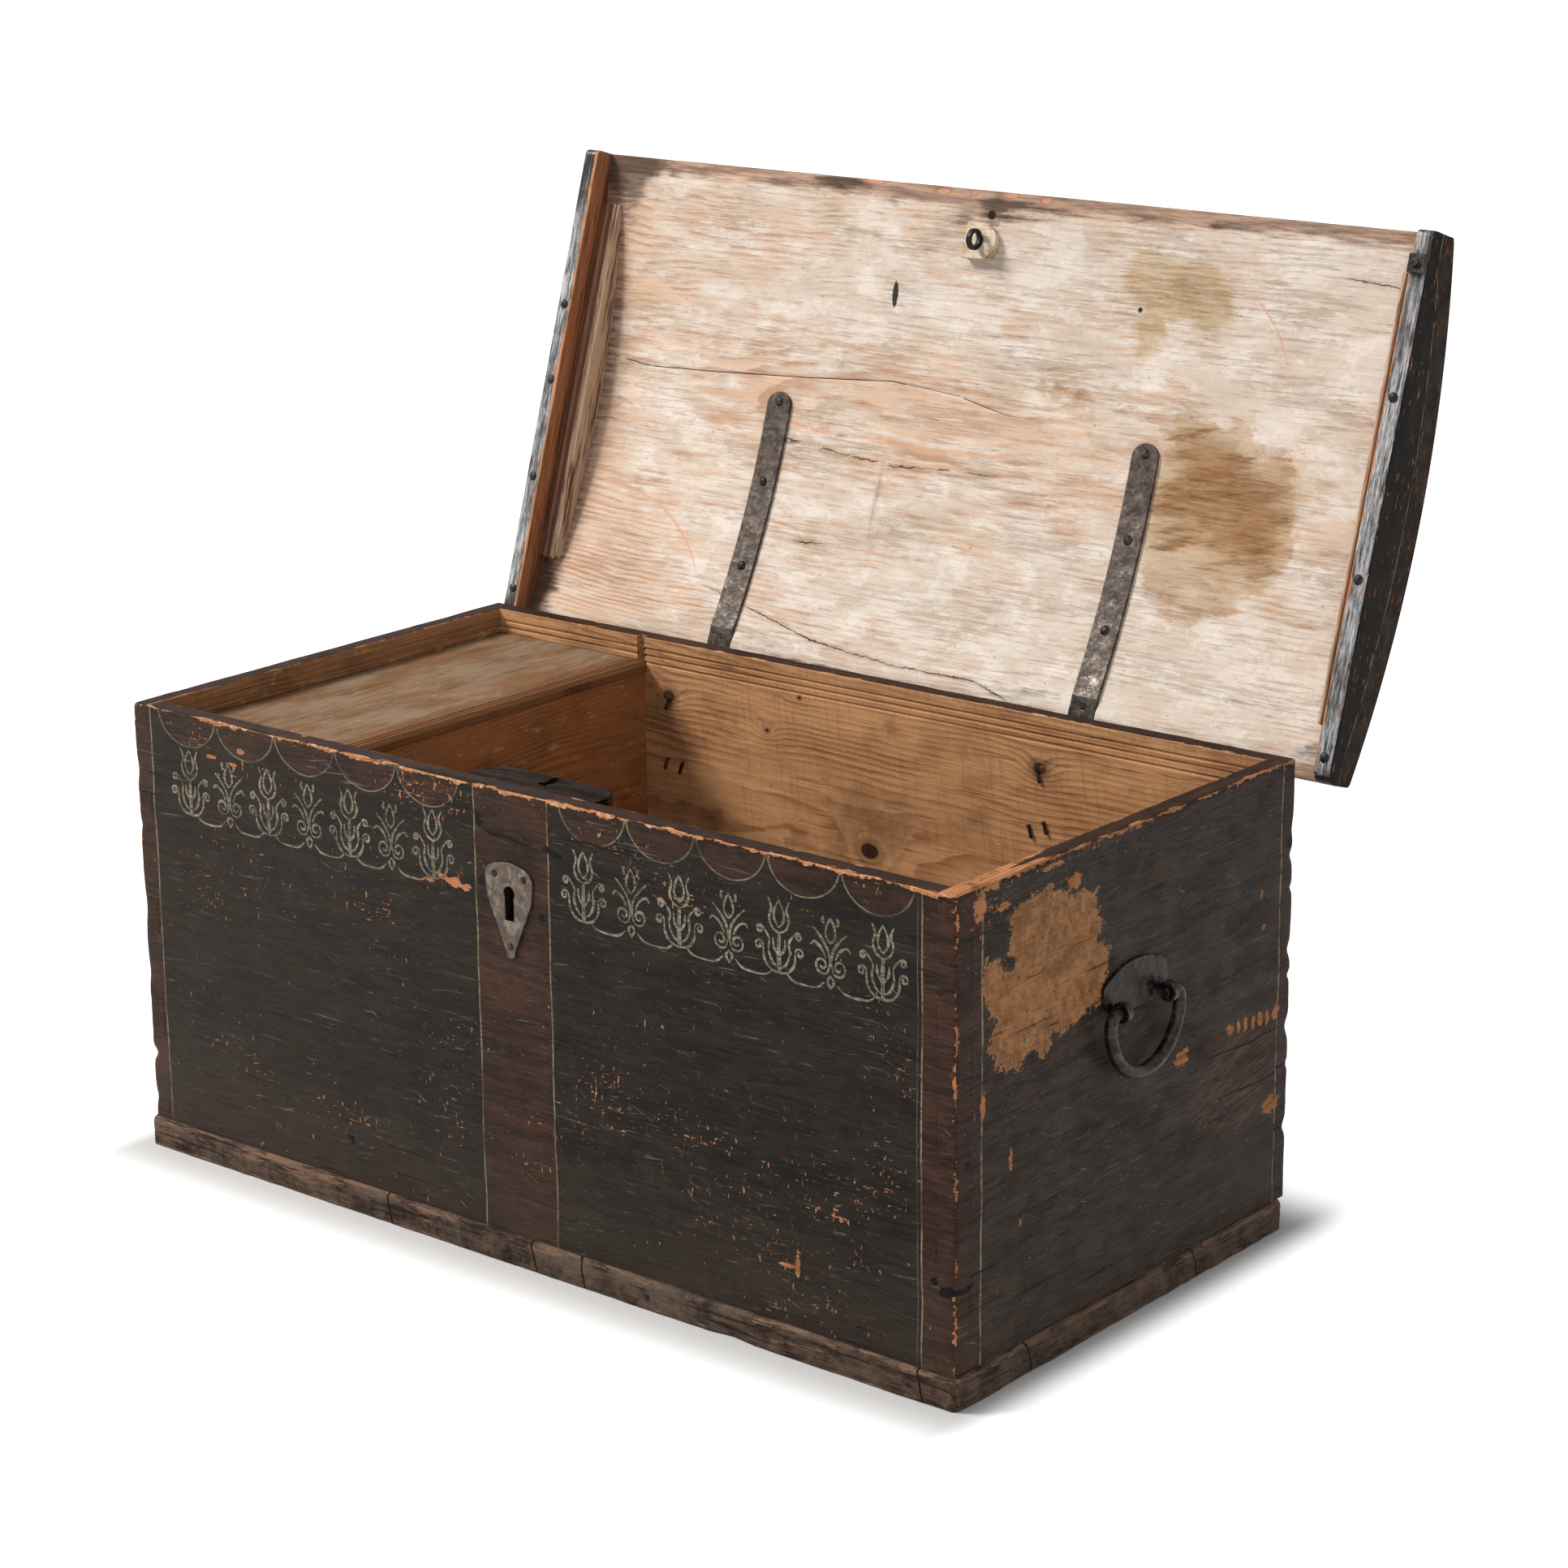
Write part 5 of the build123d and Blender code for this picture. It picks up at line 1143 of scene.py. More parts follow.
# Chips in the upright corners: X, Y, Z, added radius and reach.
CORNER_CHIPS = (
    (-600, -310, 116, 12.0, 7.0), (-600, -310, 300, 5.0, 22.0), (600, -310, 136, 8.0, 9.0),
    (600, -310, 122, 6.0, 5.0), (600, -310, 449, 6.0, 5.0), (600, 310, 440, 8.0, 8.0),
    (600, 310, 402, 6.0, 5.0), (600, 310, 330, 9.0, 9.0), (600, 310, 300, 7.0, 5.0),
    (600, 310, 240, 9.0, 10.0), (600, 310, 195, 6.0, 5.0), (600, 310, 120, 9.0, 8.0),
    (600, 310, 470, 5.0, 14.0), (-600, 310, 200, 5.0, 60.0), (600, -310, 60, 4.0, 18.0),
    (-600, -310, 470, 4.0, 12.0), (-600, -310, 400, 4.0, 9.0), (-600, -310, 220, 4.0, 14.0),
    (-600, -310, 60, 5.0, 10.0),
)
# Chips in the rim's outer edges: X, Y, added radius and reach.
RIM_CHIPS = (
    (-120, -310, 4.0, 30.0), (-60, -310, 5.0, 22.0), (240, -310, 3.0, 40.0), (470, -310, 3.5, 30.0),
    (600, -270, 5.0, 20.0), (600, -180, 4.0, 60.0), (120, 286, 5.0, 22.0), (300, 286, 3.5, 60.0),
    (600, -310, 4.0, 20.0),
)


def flare(points):
    """Spreads the dovetails: narrow at the inner faces of the end boards, wide at the outer ones."""
    reach = np.clip((np.abs(points[:, 0]) - INNER_X) / BOARD, 0, 1) * TAIL_FLARE
    slot_z = (points[:, 2] - FOOT_Z) / TAIL_PITCH
    index = np.clip(np.floor(slot_z), 0, TAIL_COUNT - 1)
    middle = FOOT_Z + TAIL_PITCH * (index + 0.5)
    offset = points[:, 2] - middle
    size = np.abs(offset)
    room = TAIL_PITCH / 2 - TAIL_HALF
    inner = size * (1 + reach / TAIL_HALF)
    outer = TAIL_HALF + reach + (size - TAIL_HALF) * (room - reach) / room
    points[:, 2] = middle + np.sign(offset) * np.where(size <= TAIL_HALF, inner, outer)


def in_tail(z):
    """Whether a height lies within a dovetail."""
    share = (z - FOOT_Z) / TAIL_PITCH
    return np.abs(share - np.floor(share) - 0.5) * TAIL_PITCH < TAIL_HALF


def tail_lines():
    """Heights of the dovetails' edges."""
    middles_z = [FOOT_Z + TAIL_PITCH * (index + 0.5) for index in range(TAIL_COUNT)]
    return [z + side * TAIL_HALF for z in middles_z for side in (-1, 1)]


def moulding_lines():
    """Heights at which the moulding's round grooves are drawn."""
    turns = np.radians(np.arange(-90, 91, 22.5))
    return [z + MOULDING_RADIUS * math.sin(turn) for z in MOULDING_Z for turn in turns]


def moulding_depth(z):
    """How far the ploughed moulding is cut into the inner face at a height, with rounded beads between."""
    depth = np.zeros(len(z))
    for middle in MOULDING_Z:
        gap = np.clip(1 - ((z - middle) / MOULDING_RADIUS) ** 2, 0, 1)
        depth = np.maximum(depth, MOULDING_RADIUS * np.sqrt(gap))
    bead = np.clip((z - MOULDING_Z[-1]) * (MOULDING_Z[0] - z) / 60.0, 0, 1)
    return depth + bead * 0.4


def front_relief(points):
    """The slow unevenness of a hand-planed face, in mm."""
    return 0.30 * rough_noise(points, (160.0, 160.0, 34.0), 5)


def wear_case(points):
    """Rounds the case's outer edges, more where they are chipped."""
    radius = 3.0 + 1.8 * rough_noise(points, (30.0, 30.0, 22.0), 3)
    for x, y, z, size, reach in CORNER_CHIPS:
        gap = np.hypot(points[:, 0] - x, points[:, 1] - y)
        radius += size * np.exp(-((points[:, 2] - z) / reach) ** 2 - (gap / 30.0) ** 2)
    for x, y, size, reach in RIM_CHIPS:
        gap = np.hypot(points[:, 0] - x, points[:, 1] - y)
        radius += size * np.exp(-((gap / reach) ** 2) - ((points[:, 2] - RIM_Z) / 12.0) ** 2)
    low = (-HALF_WIDTH, -HALF_DEPTH, -INF)
    high = (HALF_WIDTH, HALF_DEPTH, RIM_Z)
    return soften(points, low, high, np.clip(radius, 0.5, 14.0))


def sink_joints(points, level=0.55):
    """Presses the outer faces in by a little along each dovetail's edge, so that the joints can be seen."""
    share = (points[:, 2] - FOOT_Z) / TAIL_PITCH
    reach = np.clip((np.abs(points[:, 0]) - INNER_X) / BOARD, 0, 1) * TAIL_FLARE
    to_tail = np.abs(np.abs(share - np.floor(share) - 0.5) * TAIL_PITCH - TAIL_HALF - reach)
    on_front = np.abs(points[:, 1]) > HALF_DEPTH - 2
    on_end = np.abs(points[:, 0]) > HALF_WIDTH - 2
    in_corner_x = np.abs(points[:, 0]) > INNER_X - 0.5
    in_corner_y = np.abs(points[:, 1]) > INNER_Y - 0.5
    at_line = ((to_tail < 0.3) & in_corner_x & in_corner_y) & (on_front | on_end)
    at_line |= on_front & (np.abs(np.abs(points[:, 0]) - INNER_X) < 0.1) & ~in_tail(points[:, 2])
    at_line |= on_end & (np.abs(np.abs(points[:, 1]) - INNER_Y) < 0.1) & in_tail(points[:, 2])
    pressed = points.copy()
    pressed[:, 1] -= np.sign(points[:, 1]) * level * (at_line & on_front)
    pressed[:, 0] -= np.sign(points[:, 0]) * level * (at_line & on_end)
    return pressed


def stretches(run, marks):
    """A sum of soft stretches along a line. Each mark is its place, half length and strength."""
    return sum(size * np.exp(-(((run - place) / reach) ** 2)) for place, reach, size in marks)


def case_fields(points, long_board):
    """Wear and cracks over a board's outer face, from the features listed above."""
    x, y, z = points.T
    if long_board:
        wear = spots(x, z, FRONT_WEAR)
        crack, mask = crack_fields(x, z, FRONT_CRACKS)
        patch = np.full(len(x), -FIELD_LIMIT)
    else:
        wear = spots(y, z, END_WEAR)
        crack, mask = crack_fields(y, z, END_CRACKS)
        patch = np.where(x > 0, inside_distance(y, z, PATCH), -FIELD_LIMIT)
    wear += np.exp(-np.abs(z - RIM_Z) / 18.0)
    at_corner = np.exp(-np.hypot(HALF_WIDTH - np.abs(x), HALF_DEPTH - np.abs(y)) / 30.0)
    at_rim = np.exp(-np.abs(z - RIM_Z) / 20.0)
    run = x if long_board else y * 2 - 40
    rub = stretches(z, CORNER_RUB) * at_corner + (0.5 + 1.5 * stretches(run, RIM_RUB)) * at_rim
    return {"wear": wear, "rub": rub, "crack": crack, "crack_mask": mask, "patch": patch}


def board_heights(*marks):
    """Grid lines up a board, through its feet, rim, dovetails and moulding."""
    even = stations([FOOT_Z, RIM_Z, *marks, *tail_lines()], 4.5)
    return np.unique(np.round([*even, *moulding_lines()], 3))


def wear_board(points, axis, side, hollow):
    """Cuts the moulding into a board that faces an axis, spreads its dovetails and wears it down.

    hollow is how strongly its inner face is planed hollow. Gives the points and the fields."""
    inner = np.abs(np.abs(points[:, axis]) - INNER[axis]) < NEAR
    outer = np.abs(np.abs(points[:, axis]) - OUTER[axis]) < NEAR
    cut = moulding_depth(points[:, 2]) * inner * (np.abs(points[:, 1 - axis]) < INNER[1 - axis] + NEAR)
    flare(points)
    points = sink_joints(points)
    planed = front_relief(points) * outer + hollow * front_relief(points * 1.3) * inner
    points[:, axis] += side * (cut - planed)
    fields = case_fields(points, axis == 1)
    points = wear_case(points)
    low, high = [-INF, -INF, -INF], [INF, INF, RIM_Z]
    (low if side > 0 else high)[axis] = side * INNER[axis]
    rim_radius = np.clip(1.6 + 1.2 * rough_noise(points, 24.0, 9), 0.4, 3.5)
    return soften(points, low, high, rim_radius), fields


def board_picks(axis, axes, sides, centres):
    """Each face's finish on a board that faces an axis: 0 outside, 1 inside, 2 on the rim, 3 at its ends."""
    picks = np.full(len(axes), 1)
    picks[(axes == axis) & (np.abs(centres[:, axis]) > OUTER[axis] - NEAR)] = 0
    picks[(axes == 2) & (sides > 0) & (centres[:, 2] > RIM_Z - 1)] = 2
    picks[(axes == 1 - axis) & (np.abs(centres[:, 1 - axis]) > OUTER[1 - axis] - NEAR)] = 3
    return picks


def make_long_board(name, side, slot):
    """The front or back board, with tails at both ends, the inner moulding and the till's housing."""
    left, right, bottom, top = KEYHOLE
    xs = stations((-HALF_WIDTH, -INNER_X, TILL_LEFT, TILL_RIGHT, left, right, INNER_X, HALF_WIDTH), 7.0)
    ys = stations([side * y for y in (HALF_DEPTH, INNER_Y + TILL_HOUSING, INNER_Y)], 6.0)

    def filled(x, y, z):
        wood = (np.abs(x) < INNER_X) | in_tail(z)
        housed = (x > TILL_LEFT) & (x < TILL_RIGHT) & (np.abs(y) < INNER_Y + TILL_HOUSING) & (z > HOUSING_Z)
        keyhole = (x > left) & (x < right) & (z > bottom) & (z < top) & (side < 0)
        return wood & ~housed & ~keyhole

    points, faces, axes, sides, centres = lattice(xs, ys, board_heights(bottom, top), filled)
    points, fields = wear_board(points, 1, side, 0.25)
    picks = board_picks(1, axes, sides, centres)
    # The keyhole's walls take the dark lock wood, which paints the shade inside the hole.
    in_keyhole = np.abs(centres[:, 0] - (left + right) / 2) < (right - left) / 2 + 0.1
    in_keyhole &= np.abs(centres[:, 2] - (bottom + top) / 2) < (top - bottom) / 2 + 0.1
    picks[in_keyhole & (axes != 1)] = 4
    materials = (FRONT_FACE, INSIDE_LONG, RIM_LONG, END_FACE, LOCK_WOOD)
    make_worn(name, "case", points, faces, materials, slot, picks, fields)


def make_end_board(name, side):
    """An end board: full depth, less the tails of the front and back boards."""
    xs = stations([side * HALF_WIDTH, side * INNER_X], 6.0)
    ys = stations((-HALF_DEPTH, -INNER_Y, INNER_Y, HALF_DEPTH), 7.0)
    points, faces, axes, sides, centres = lattice(
        xs, ys, board_heights(), lambda x, y, z: (np.abs(y) < INNER_Y) | ~in_tail(z)
    )
    points, fields = wear_board(points, 0, side, 0.0)
    picks = board_picks(0, axes, sides, centres)
    materials = (END_FACE, INSIDE_END, RIM_END, FRONT_FACE)
    make_worn(name, "case", points, faces, materials, "charcoal_painted_pine", picks, fields)


make_long_board("front_board", -1, "charcoal_painted_pine")
make_long_board("back_board", 1, "bare_pine")
for word, side in SIDES.items():
    make_end_board(f"end_board_{word}", side)


# Plinth

# Places of the cracks along each length.
PLINTH_CRACKS = {
    "front": (24.0, 96.0, -200.0, 560.0),
    "back": (-300.0,),
    "left": (40.0,),
    "right": (120.0, -190.0),
}
# Notches: place along the length, half length, height and depth.
PLINTH_NOTCHES = {
    "front": (
        (307.0, 18.0, 3.0, 6.0), (92.0, 7.0, 33.0, 3.5), (-420.0, 30.0, 34.0, 2.0), (520.0, 40.0, 34.0, 2.5),
    ),
    "back": ((100.0, 30.0, 34.0, 2.0),),
    "left": ((-100.0, 40.0, 34.0, 3.0),),
    "right": ((130.0, 12.0, 33.0, 3.5), (-220.0, 45.0, 34.0, 2.5)),
}
# Worn places: along the length, height, half width, half height and strength.
PLINTH_WEAR = {
    "front": (
        (-590.0, 26.0, 22.0, 9.0, 0.5), (-300.0, 30.0, 200.0, 6.0, 0.25), (350.0, 30.0, 200.0, 6.0, 0.2),
    ),
    "back": ((0.0, 30.0, 300.0, 6.0, 0.2),),
    "left": ((0.0, 30.0, 200.0, 6.0, 0.2),),
    "right": ((-200.0, 30.0, 120.0, 6.0, 0.3), (200.0, 30.0, 80.0, 6.0, 0.3)),
}


def make_plinth(word, long_axis, edge, inward):
    """One mitred length of the plinth, with its worn top edge, splits and notches."""
    half = PLINTH_X if long_axis == 0 else (PLINTH_REAR - PLINTH_FRONT) / 2
    middle = 0.0 if long_axis == 0 else (PLINTH_REAR + PLINTH_FRONT) / 2
    along = stations((-half, half), 5.0)
    across = stations((0.0, PLINTH_WIDTH), 6.0, (1.0, 3.0, 6.0, 9.0, 13.0))
    points, faces, *_ = lattice(along, across, stations((0.0, FOOT_Z), 3.0, (0.8, 2.2, 4.5, 7.0)))
    depth, height = points[:, 1], points[:, 2]
    run = points[:, 0] * (half - depth) / half + middle
    cross = edge + inward * depth
    placed = np.stack([run, cross, height] if long_axis == 0 else [cross, run, height], axis=1)
    turned = inward > 0 if long_axis == 0 else inward < 0
    faces = faces if turned else faces[:, ::-1]
    front_left = (-PLINTH_X, PLINTH_FRONT)
    rear_right = (PLINTH_X, PLINTH_REAR)
    top_radius = np.clip(6.0 + 2.5 * rough_noise(placed, 50.0, 13), 2.0, 12.0)
    placed = soften(placed, (*front_left, -INF), (*rear_right, FOOT_Z), top_radius)
    placed = soften(placed, (*front_left, -INF), (*rear_right, INF), 13.0)
    foot_radius = np.clip(3.5 + 4.0 * rough_noise(placed, 26.0, 15), 0.8, 8.0)
    placed = soften(placed, (*front_left, 0.0), (*rear_right, INF), foot_radius)
    near_face = np.exp(-depth / 4.0)
    dent = 1.1 * np.abs(rough_noise(placed, (34.0, 34.0, 12.0), 17))
    notches = [(place, at, reach, 7.0, size) for place, reach, at, size in PLINTH_NOTCHES[word]]
    dent += spots(run, height, notches)
    placed[:, 1 - long_axis] += inward * dent * near_face
    hollow = 0.6 * np.clip(rough_noise(placed, 60.0, 19), 0, 1)
    placed[:, 2] -= hollow * (height > 30) * near_face
    crack = np.full(len(run), CRACK_FAR)
    for place in PLINTH_CRACKS[word]:
        gap = run - place + 4.0 * (height - 17) / 17
        crack = np.where(np.abs(gap) < np.abs(crack), gap, crack)
    fields = {
        "wear": spots(run, height, PLINTH_WEAR[word]),
        "crack": crack,
        "crack_mask": np.abs(crack) < 9,
    }
    material = PLINTH_LONG if long_axis == 0 else PLINTH_END
    make_worn(f"plinth_{word}", "case", placed, faces, (material,), "brown_painted_pine", fields=fields)


make_plinth("front", 0, PLINTH_FRONT, 1)
make_plinth("back", 0, PLINTH_REAR, -1)
make_plinth("left", 1, -PLINTH_X, 1)
make_plinth("right", 1, PLINTH_X, -1)


# Till and lock cover


def make_till_front():
    """The till's upright board, a little uneven and worn at its edges."""
    low, high = np.transpose(TILL_FRONT)
    points, faces, *_ = lattice(*(stations(pair, 6.0) for pair in TILL_FRONT))
    wear = np.clip(1.2 * (1 + 0.6 * rough_noise(points, 22.0, 21)), 0.2, 4.5)
    uneven = 0.2 * np.stack([rough_noise(points, 60.0, 24 + axis) for axis in range(3)], axis=1)
    moved = soften(points, low, high, wear) - np.sign(points - (low + high) / 2) * np.abs(uneven)
    make_worn("till_front_board", "case", moved, faces, (TILL_WOOD,), "bare_pine")


make_till_front()


def make_till_lid():
    """The till's lid, with a round hinge edge at the left and a chamfered, beaded nosing at the right."""
    x0, x1, z0, z1 = TILL_LID
    nose = [x1 - inset for inset in (0.0, 1.5, 3.2, 5.0, 7.0)]
    groove = 1.6
    grooves = [x1 - inset for inset in (11.0, 18.0)]
    beads = [middle + step for middle in grooves for step in (-groove, -1.1, -0.5, 0.0, 0.5, 1.1, groove)]
    xs = np.unique(np.round([*stations((x0, x1), 6.0), *nose, *beads], 3))
    ys = stations((-TILL_LID_HALF, TILL_LID_HALF), 6.0)
    points, faces, *_ = lattice(xs, ys, stations((z0, z1), 4.0))
    top = points[:, 2] > z1 - NEAR
    points[:, 2] = np.minimum(points[:, 2], z1 - np.clip(5.0 - (x1 - points[:, 0]), 0, 5))
    for middle in grooves:
        gap = np.clip(1 - ((points[:, 0] - middle) / groove) ** 2, 0, 1)
        points[:, 2] -= groove * np.sqrt(gap) * top
    points = soften(points, (x0, -INF, z0), (INF, INF, z1), 6.8)
    wear = np.clip(1.4 + 1.2 * rough_noise(points, 25.0, 27), 0.3, 4)
    points = soften(points, (-INF, -TILL_LID_HALF, z0), (x1, TILL_LID_HALF, z1), wear)
    points[:, 2] -= 0.35 * np.abs(rough_noise(points, (40.0, 200.0, 50.0), 28)) * top
    materials, slot = (TILL_LID_WOOD,), "weathered_till_pine"
    make_piece("till_lid_worn", "till_lid", points, faces, materials, slot, node="till_lid_board")


make_till_lid()


def make_lock_cover():
    """The lock's cover: corners chamfered towards the chest's inside, a slot and a split, lifting top."""
    x0, x1, y0, y1, z0, z1 = COVER
    room_left, room_right, room_bottom, room_top = LOCK_ROOM
    slot_left, slot_right, slot_front, slot_rear, slot_bottom = CATCH_SLOT
    xs = stations((x0, -76.0, slot_left, slot_right, 58.0, x1), 4.0)
    ys = stations((y0, slot_front, slot_rear, y1), 2.6)
    zs = stations((z0, room_bottom, slot_bottom, room_top, z1), 6.0)

    def filled(x, y, z):
        room = (x > room_left) & (x < room_right) & (y < y1 - 12) & (z > room_bottom) & (z < room_top)
        slot = (x > slot_left) & (x < slot_right) & (y > slot_front) & (y < slot_rear) & (z > slot_bottom)
        return ~room & ~slot

    points, faces, *_ = lattice(xs, ys, zs, filled)
    inset = np.clip((points[:, 1] - (y1 - COVER_CHAMFER[1])) / COVER_CHAMFER[1], 0, 1) * COVER_CHAMFER[0]
    middle = (x0 + x1) / 2
    half = (x1 - x0) / 2
    points[:, 0] = middle + (points[:, 0] - middle) * (half - inset) / half
    wear = np.clip(2.0 + 2.0 * rough_noise(points, 20.0, 31), 0.4, 4.4)
    moved = soften(points, (-INF, -INF, z0), (INF, y1, z1), wear)
    splinter = np.clip(rough_noise(points, (80.0, 7.0, 40.0), 33) + 0.15, 0, 1) * 4.5
    at_right = np.clip((points[:, 0] - 50) / 40, 0, 1)
    splinter += 5.0 * at_right * np.abs(rough_noise(points, (30.0, 6.0, 40.0), 34))
    moved[:, 2] -= splinter * (points[:, 2] > z1 - 1)
    moved[:, 1] -= 0.8 * np.abs(rough_noise(points, (12.0, 40.0, 90.0), 35)) * (points[:, 1] > y1 - 1)
    make_worn("lock_cover", "case", moved, faces, (LOCK_WOOD,), "dark_lock_wood")


make_lock_cover()


# Lid


def underside(x, y):
    """Height of the lid's underside: flat margins, a hollow between, and housings for the straps."""
    drop = HOLLOW_RADIUS - np.sqrt(HOLLOW_RADIUS**2 - (y - LID_MIDDLE) ** 2)
    height = np.where(np.abs(y - LID_MIDDLE) < HOLLOW_HALF, HOLLOW_TOP - drop, LID_BASE)
    for hinge_x in HINGE_X.values():
        housed = (np.abs(x - hinge_x) < STRAP_HALF + STRAP_ROOM) & (y > 200)
        height = np.where(housed, np.maximum(height, LID_BASE + 4.0), height)
    return height


def dome(y):
    """Height of the lid's domed top."""
    return DOME_TOP - DOME_RADIUS + np.sqrt(DOME_RADIUS**2 - (y - LID_MIDDLE) ** 2)


# Seams between the planks: X and Y.
FRONT_SEAM = (
    (-624, -55), (-569, -55), (-505, -47), (-396, -51), (-239, -60), (-113, -69), (-12, -62), (63, -47),
    (624, -45),
)
REAR_SEAM = ((-624, 145), (-300, 143), (0, 147), (300, 144), (624, 145))
# Gouges in the front edge: X, Y, half width, half depth and height.
GOUGES = (
    (-67, -302, 16, 6, 4.0), (-20, -304, 9, 5, 3.0), (34, -305, 14, 5, 3.5), (85, -303, 10, 5, 3.0),
    (-170, -306, 20, 4, 2.0),
)
# The lists below are seen from underneath: X, and the distance from the lid's rear edge.
STAIN_CORE = [
    (300, 246), (292, 290), (300, 345), (318, 380), (350, 374), (385, 366), (425, 346), (456, 320),
    (478, 286), (482, 250), (474, 222), (440, 216), (410, 226), (360, 232), (320, 226),
]
STAIN = [
    (294, 357), (315, 382), (335, 390), (362, 384), (390, 387), (420, 376), (445, 356), (468, 334),
    (483, 305), (494, 270), (488, 240), (466, 216), (448, 187), (420, 164), (391, 155), (352, 158),
    (320, 169), (300, 182), (288, 203), (292, 240), (290, 280), (285, 320),
]
PALE_STAIN = [
    (202, 535), (225, 562), (244, 575), (280, 560), (335, 556), (356, 530), (362, 504), (330, 480),
    (296, 492), (275, 486), (268, 455), (235, 445), (228, 478), (240, 505), (215, 515),
]
SMALL_STAIN = [(102, 402), (118, 390), (145, 378), (171, 381), (176, 394), (160, 404), (129, 406)]
LID_CRACKS = (
    ((-585, 281), (-560, 284), (-522, 281)),
    ((-290, 292), (-230, 289), (-168, 282), (-90, 276), (7, 283), (74, 282)),
    ((-330, 92), (-250, 74), (-142, 49), (-12, 38), (110, 38), (176, 19)),
    ((-230, 168), (-200, 166), (-160, 170)),
    ((500, 560), (560, 556), (604, 552)),
)
SCRAPES = (
    (
        (-560, 204), (-520, 201), (-476, 196), (-440, 184), (-411, 167), (-382, 144), (-361, 121),
        (-348, 100), (-339, 82),
    ),
    ((-300, 312), (-200, 306), (-120, 309), (-40, 300), (40, 306), (130, 318)),
    ((380, 540), (420, 500), (446, 450), (462, 400)),
)
# Soft patches: X, distance, half width, half height and strength.
WASH = (
    (-100, 470, 260, 70, 0.35), (330, 100, 200, 70, 0.55), (60, 120, 180, 60, 0.45),
    (480, 520, 110, 90, 0.5), (-120, 380, 190, 50, -0.45), (0, 330, 190, 40, -0.40),
    (-380, 330, 130, 50, -0.25), (200, 300, 70, 90, -0.15), (-480, 150, 90, 70, -0.35),
    (-300, 60, 160, 30, -0.2), (430, 420, 90, 60, 0.35), (-420, 540, 120, 40, -0.25),
    (100, 540, 120, 30, 0.3), (-480, 60, 70, 50, -0.5), (-560, 300, 30, 240, -0.35),
)
OCHRE = (
    (-500, 448, 90, 22, 0.9), (-400, 400, 80, 16, 0.5), (-340, 560, 120, 14, 0.55),
    (-250, 410, 90, 14, 0.4), (-524, 387, 50, 20, 0.5), (60, 400, 60, 20, 0.25),
    (480, 300, 50, 120, 0.30), (-180, 500, 60, 14, 0.3), (560, 250, 30, 200, 0.25),
    (-560, 500, 40, 70, 0.6), (-100, 580, 160, 12, 0.5),
)
SOOT = (
    (-600, 612, 90, 34, 1.3), (-560, 560, 30, 60, 0.8), (-230, 610, 120, 9, 0.9), (60, 604, 120, 8, 0.8),
    (330, 600, 160, 8, 0.6), (-598, 330, 16, 200, 0.7), (-596, 60, 24, 80, 0.9), (560, 30, 60, 16, 0.6),
    (500, 70, 90, 14, 0.5), (-170, 20, 120, 10, 0.6), (8, 552, 24, 22, 0.75), (14, 592, 26, 12, 0.7),
)
SMEARS = (
    (-105, 240, 7, 60, 0.9), (-92, 180, 9, 30, 0.6), (-450, 300, 60, 26, 0.3), (190, 575, 60, 12, 0.5),
    (240, 480, 30, 30, 0.2),
)


def seam(line, x):
    """Y of a seam at each X."""
    line_x, line_y = zip(*line)
    return np.interp(x, line_x, line_y)


def seam_gap(line, x):
    """Half the gap at a seam. The front one has opened over the lid's left half."""
    open_part = np.clip((110 - x) / 80.0, 0, 1) if line is FRONT_SEAM else 0.0
    return 0.03 + 0.42 * open_part


def lid_fields(x, y):
    """Everything that shows on the lid's underside, as values at its points."""
    back = HALF_DEPTH - y
    crack, crack_mask = crack_fields(x, back, LID_CRACKS)
    scrape, scrape_mask = crack_fields(x, back, SCRAPES)
    stain = np.maximum(inside_distance(x, back, STAIN), inside_distance(x, back, SMALL_STAIN) - 4.0)
    front_edge = np.clip((back - 588.0) / 20.0, 0, 1) + 0.5 * np.exp(-(((x - 10) / 110) ** 2)) * (back > 575)
    rear_edge = np.clip((26.0 - back) / 14.0, 0, 1)
    # Darker towards each end, beside the strips, most at the left: dirt and painted shade.
    end_dirt_and_shade = np.clip((np.abs(x) - 548.0) / 40.0, 0, 1) * np.where(x < 0, 1.0, 0.35)
    gouges = [(*gouge[:4], 1.0) for gouge in GOUGES]
    return {
        "crack": crack,
        "crack_mask": crack_mask,
        "scrape": scrape,
        "scrape_mask": scrape_mask,
        "stain": stain,
        "stain_core": inside_distance(x, back, STAIN_CORE),
        "pale_stain": inside_distance(x, back, PALE_STAIN),
        "wash": 0.45 + spots(x, back, WASH),
        "ochre": spots(x, back, OCHRE),
        "smear": spots(x, back, SMEARS),
        "soot": spots(x, back, SOOT),
        "gouge": spots(x, y, gouges),
        "margin": np.maximum(np.maximum(front_edge, rear_edge), end_dirt_and_shade),
    }


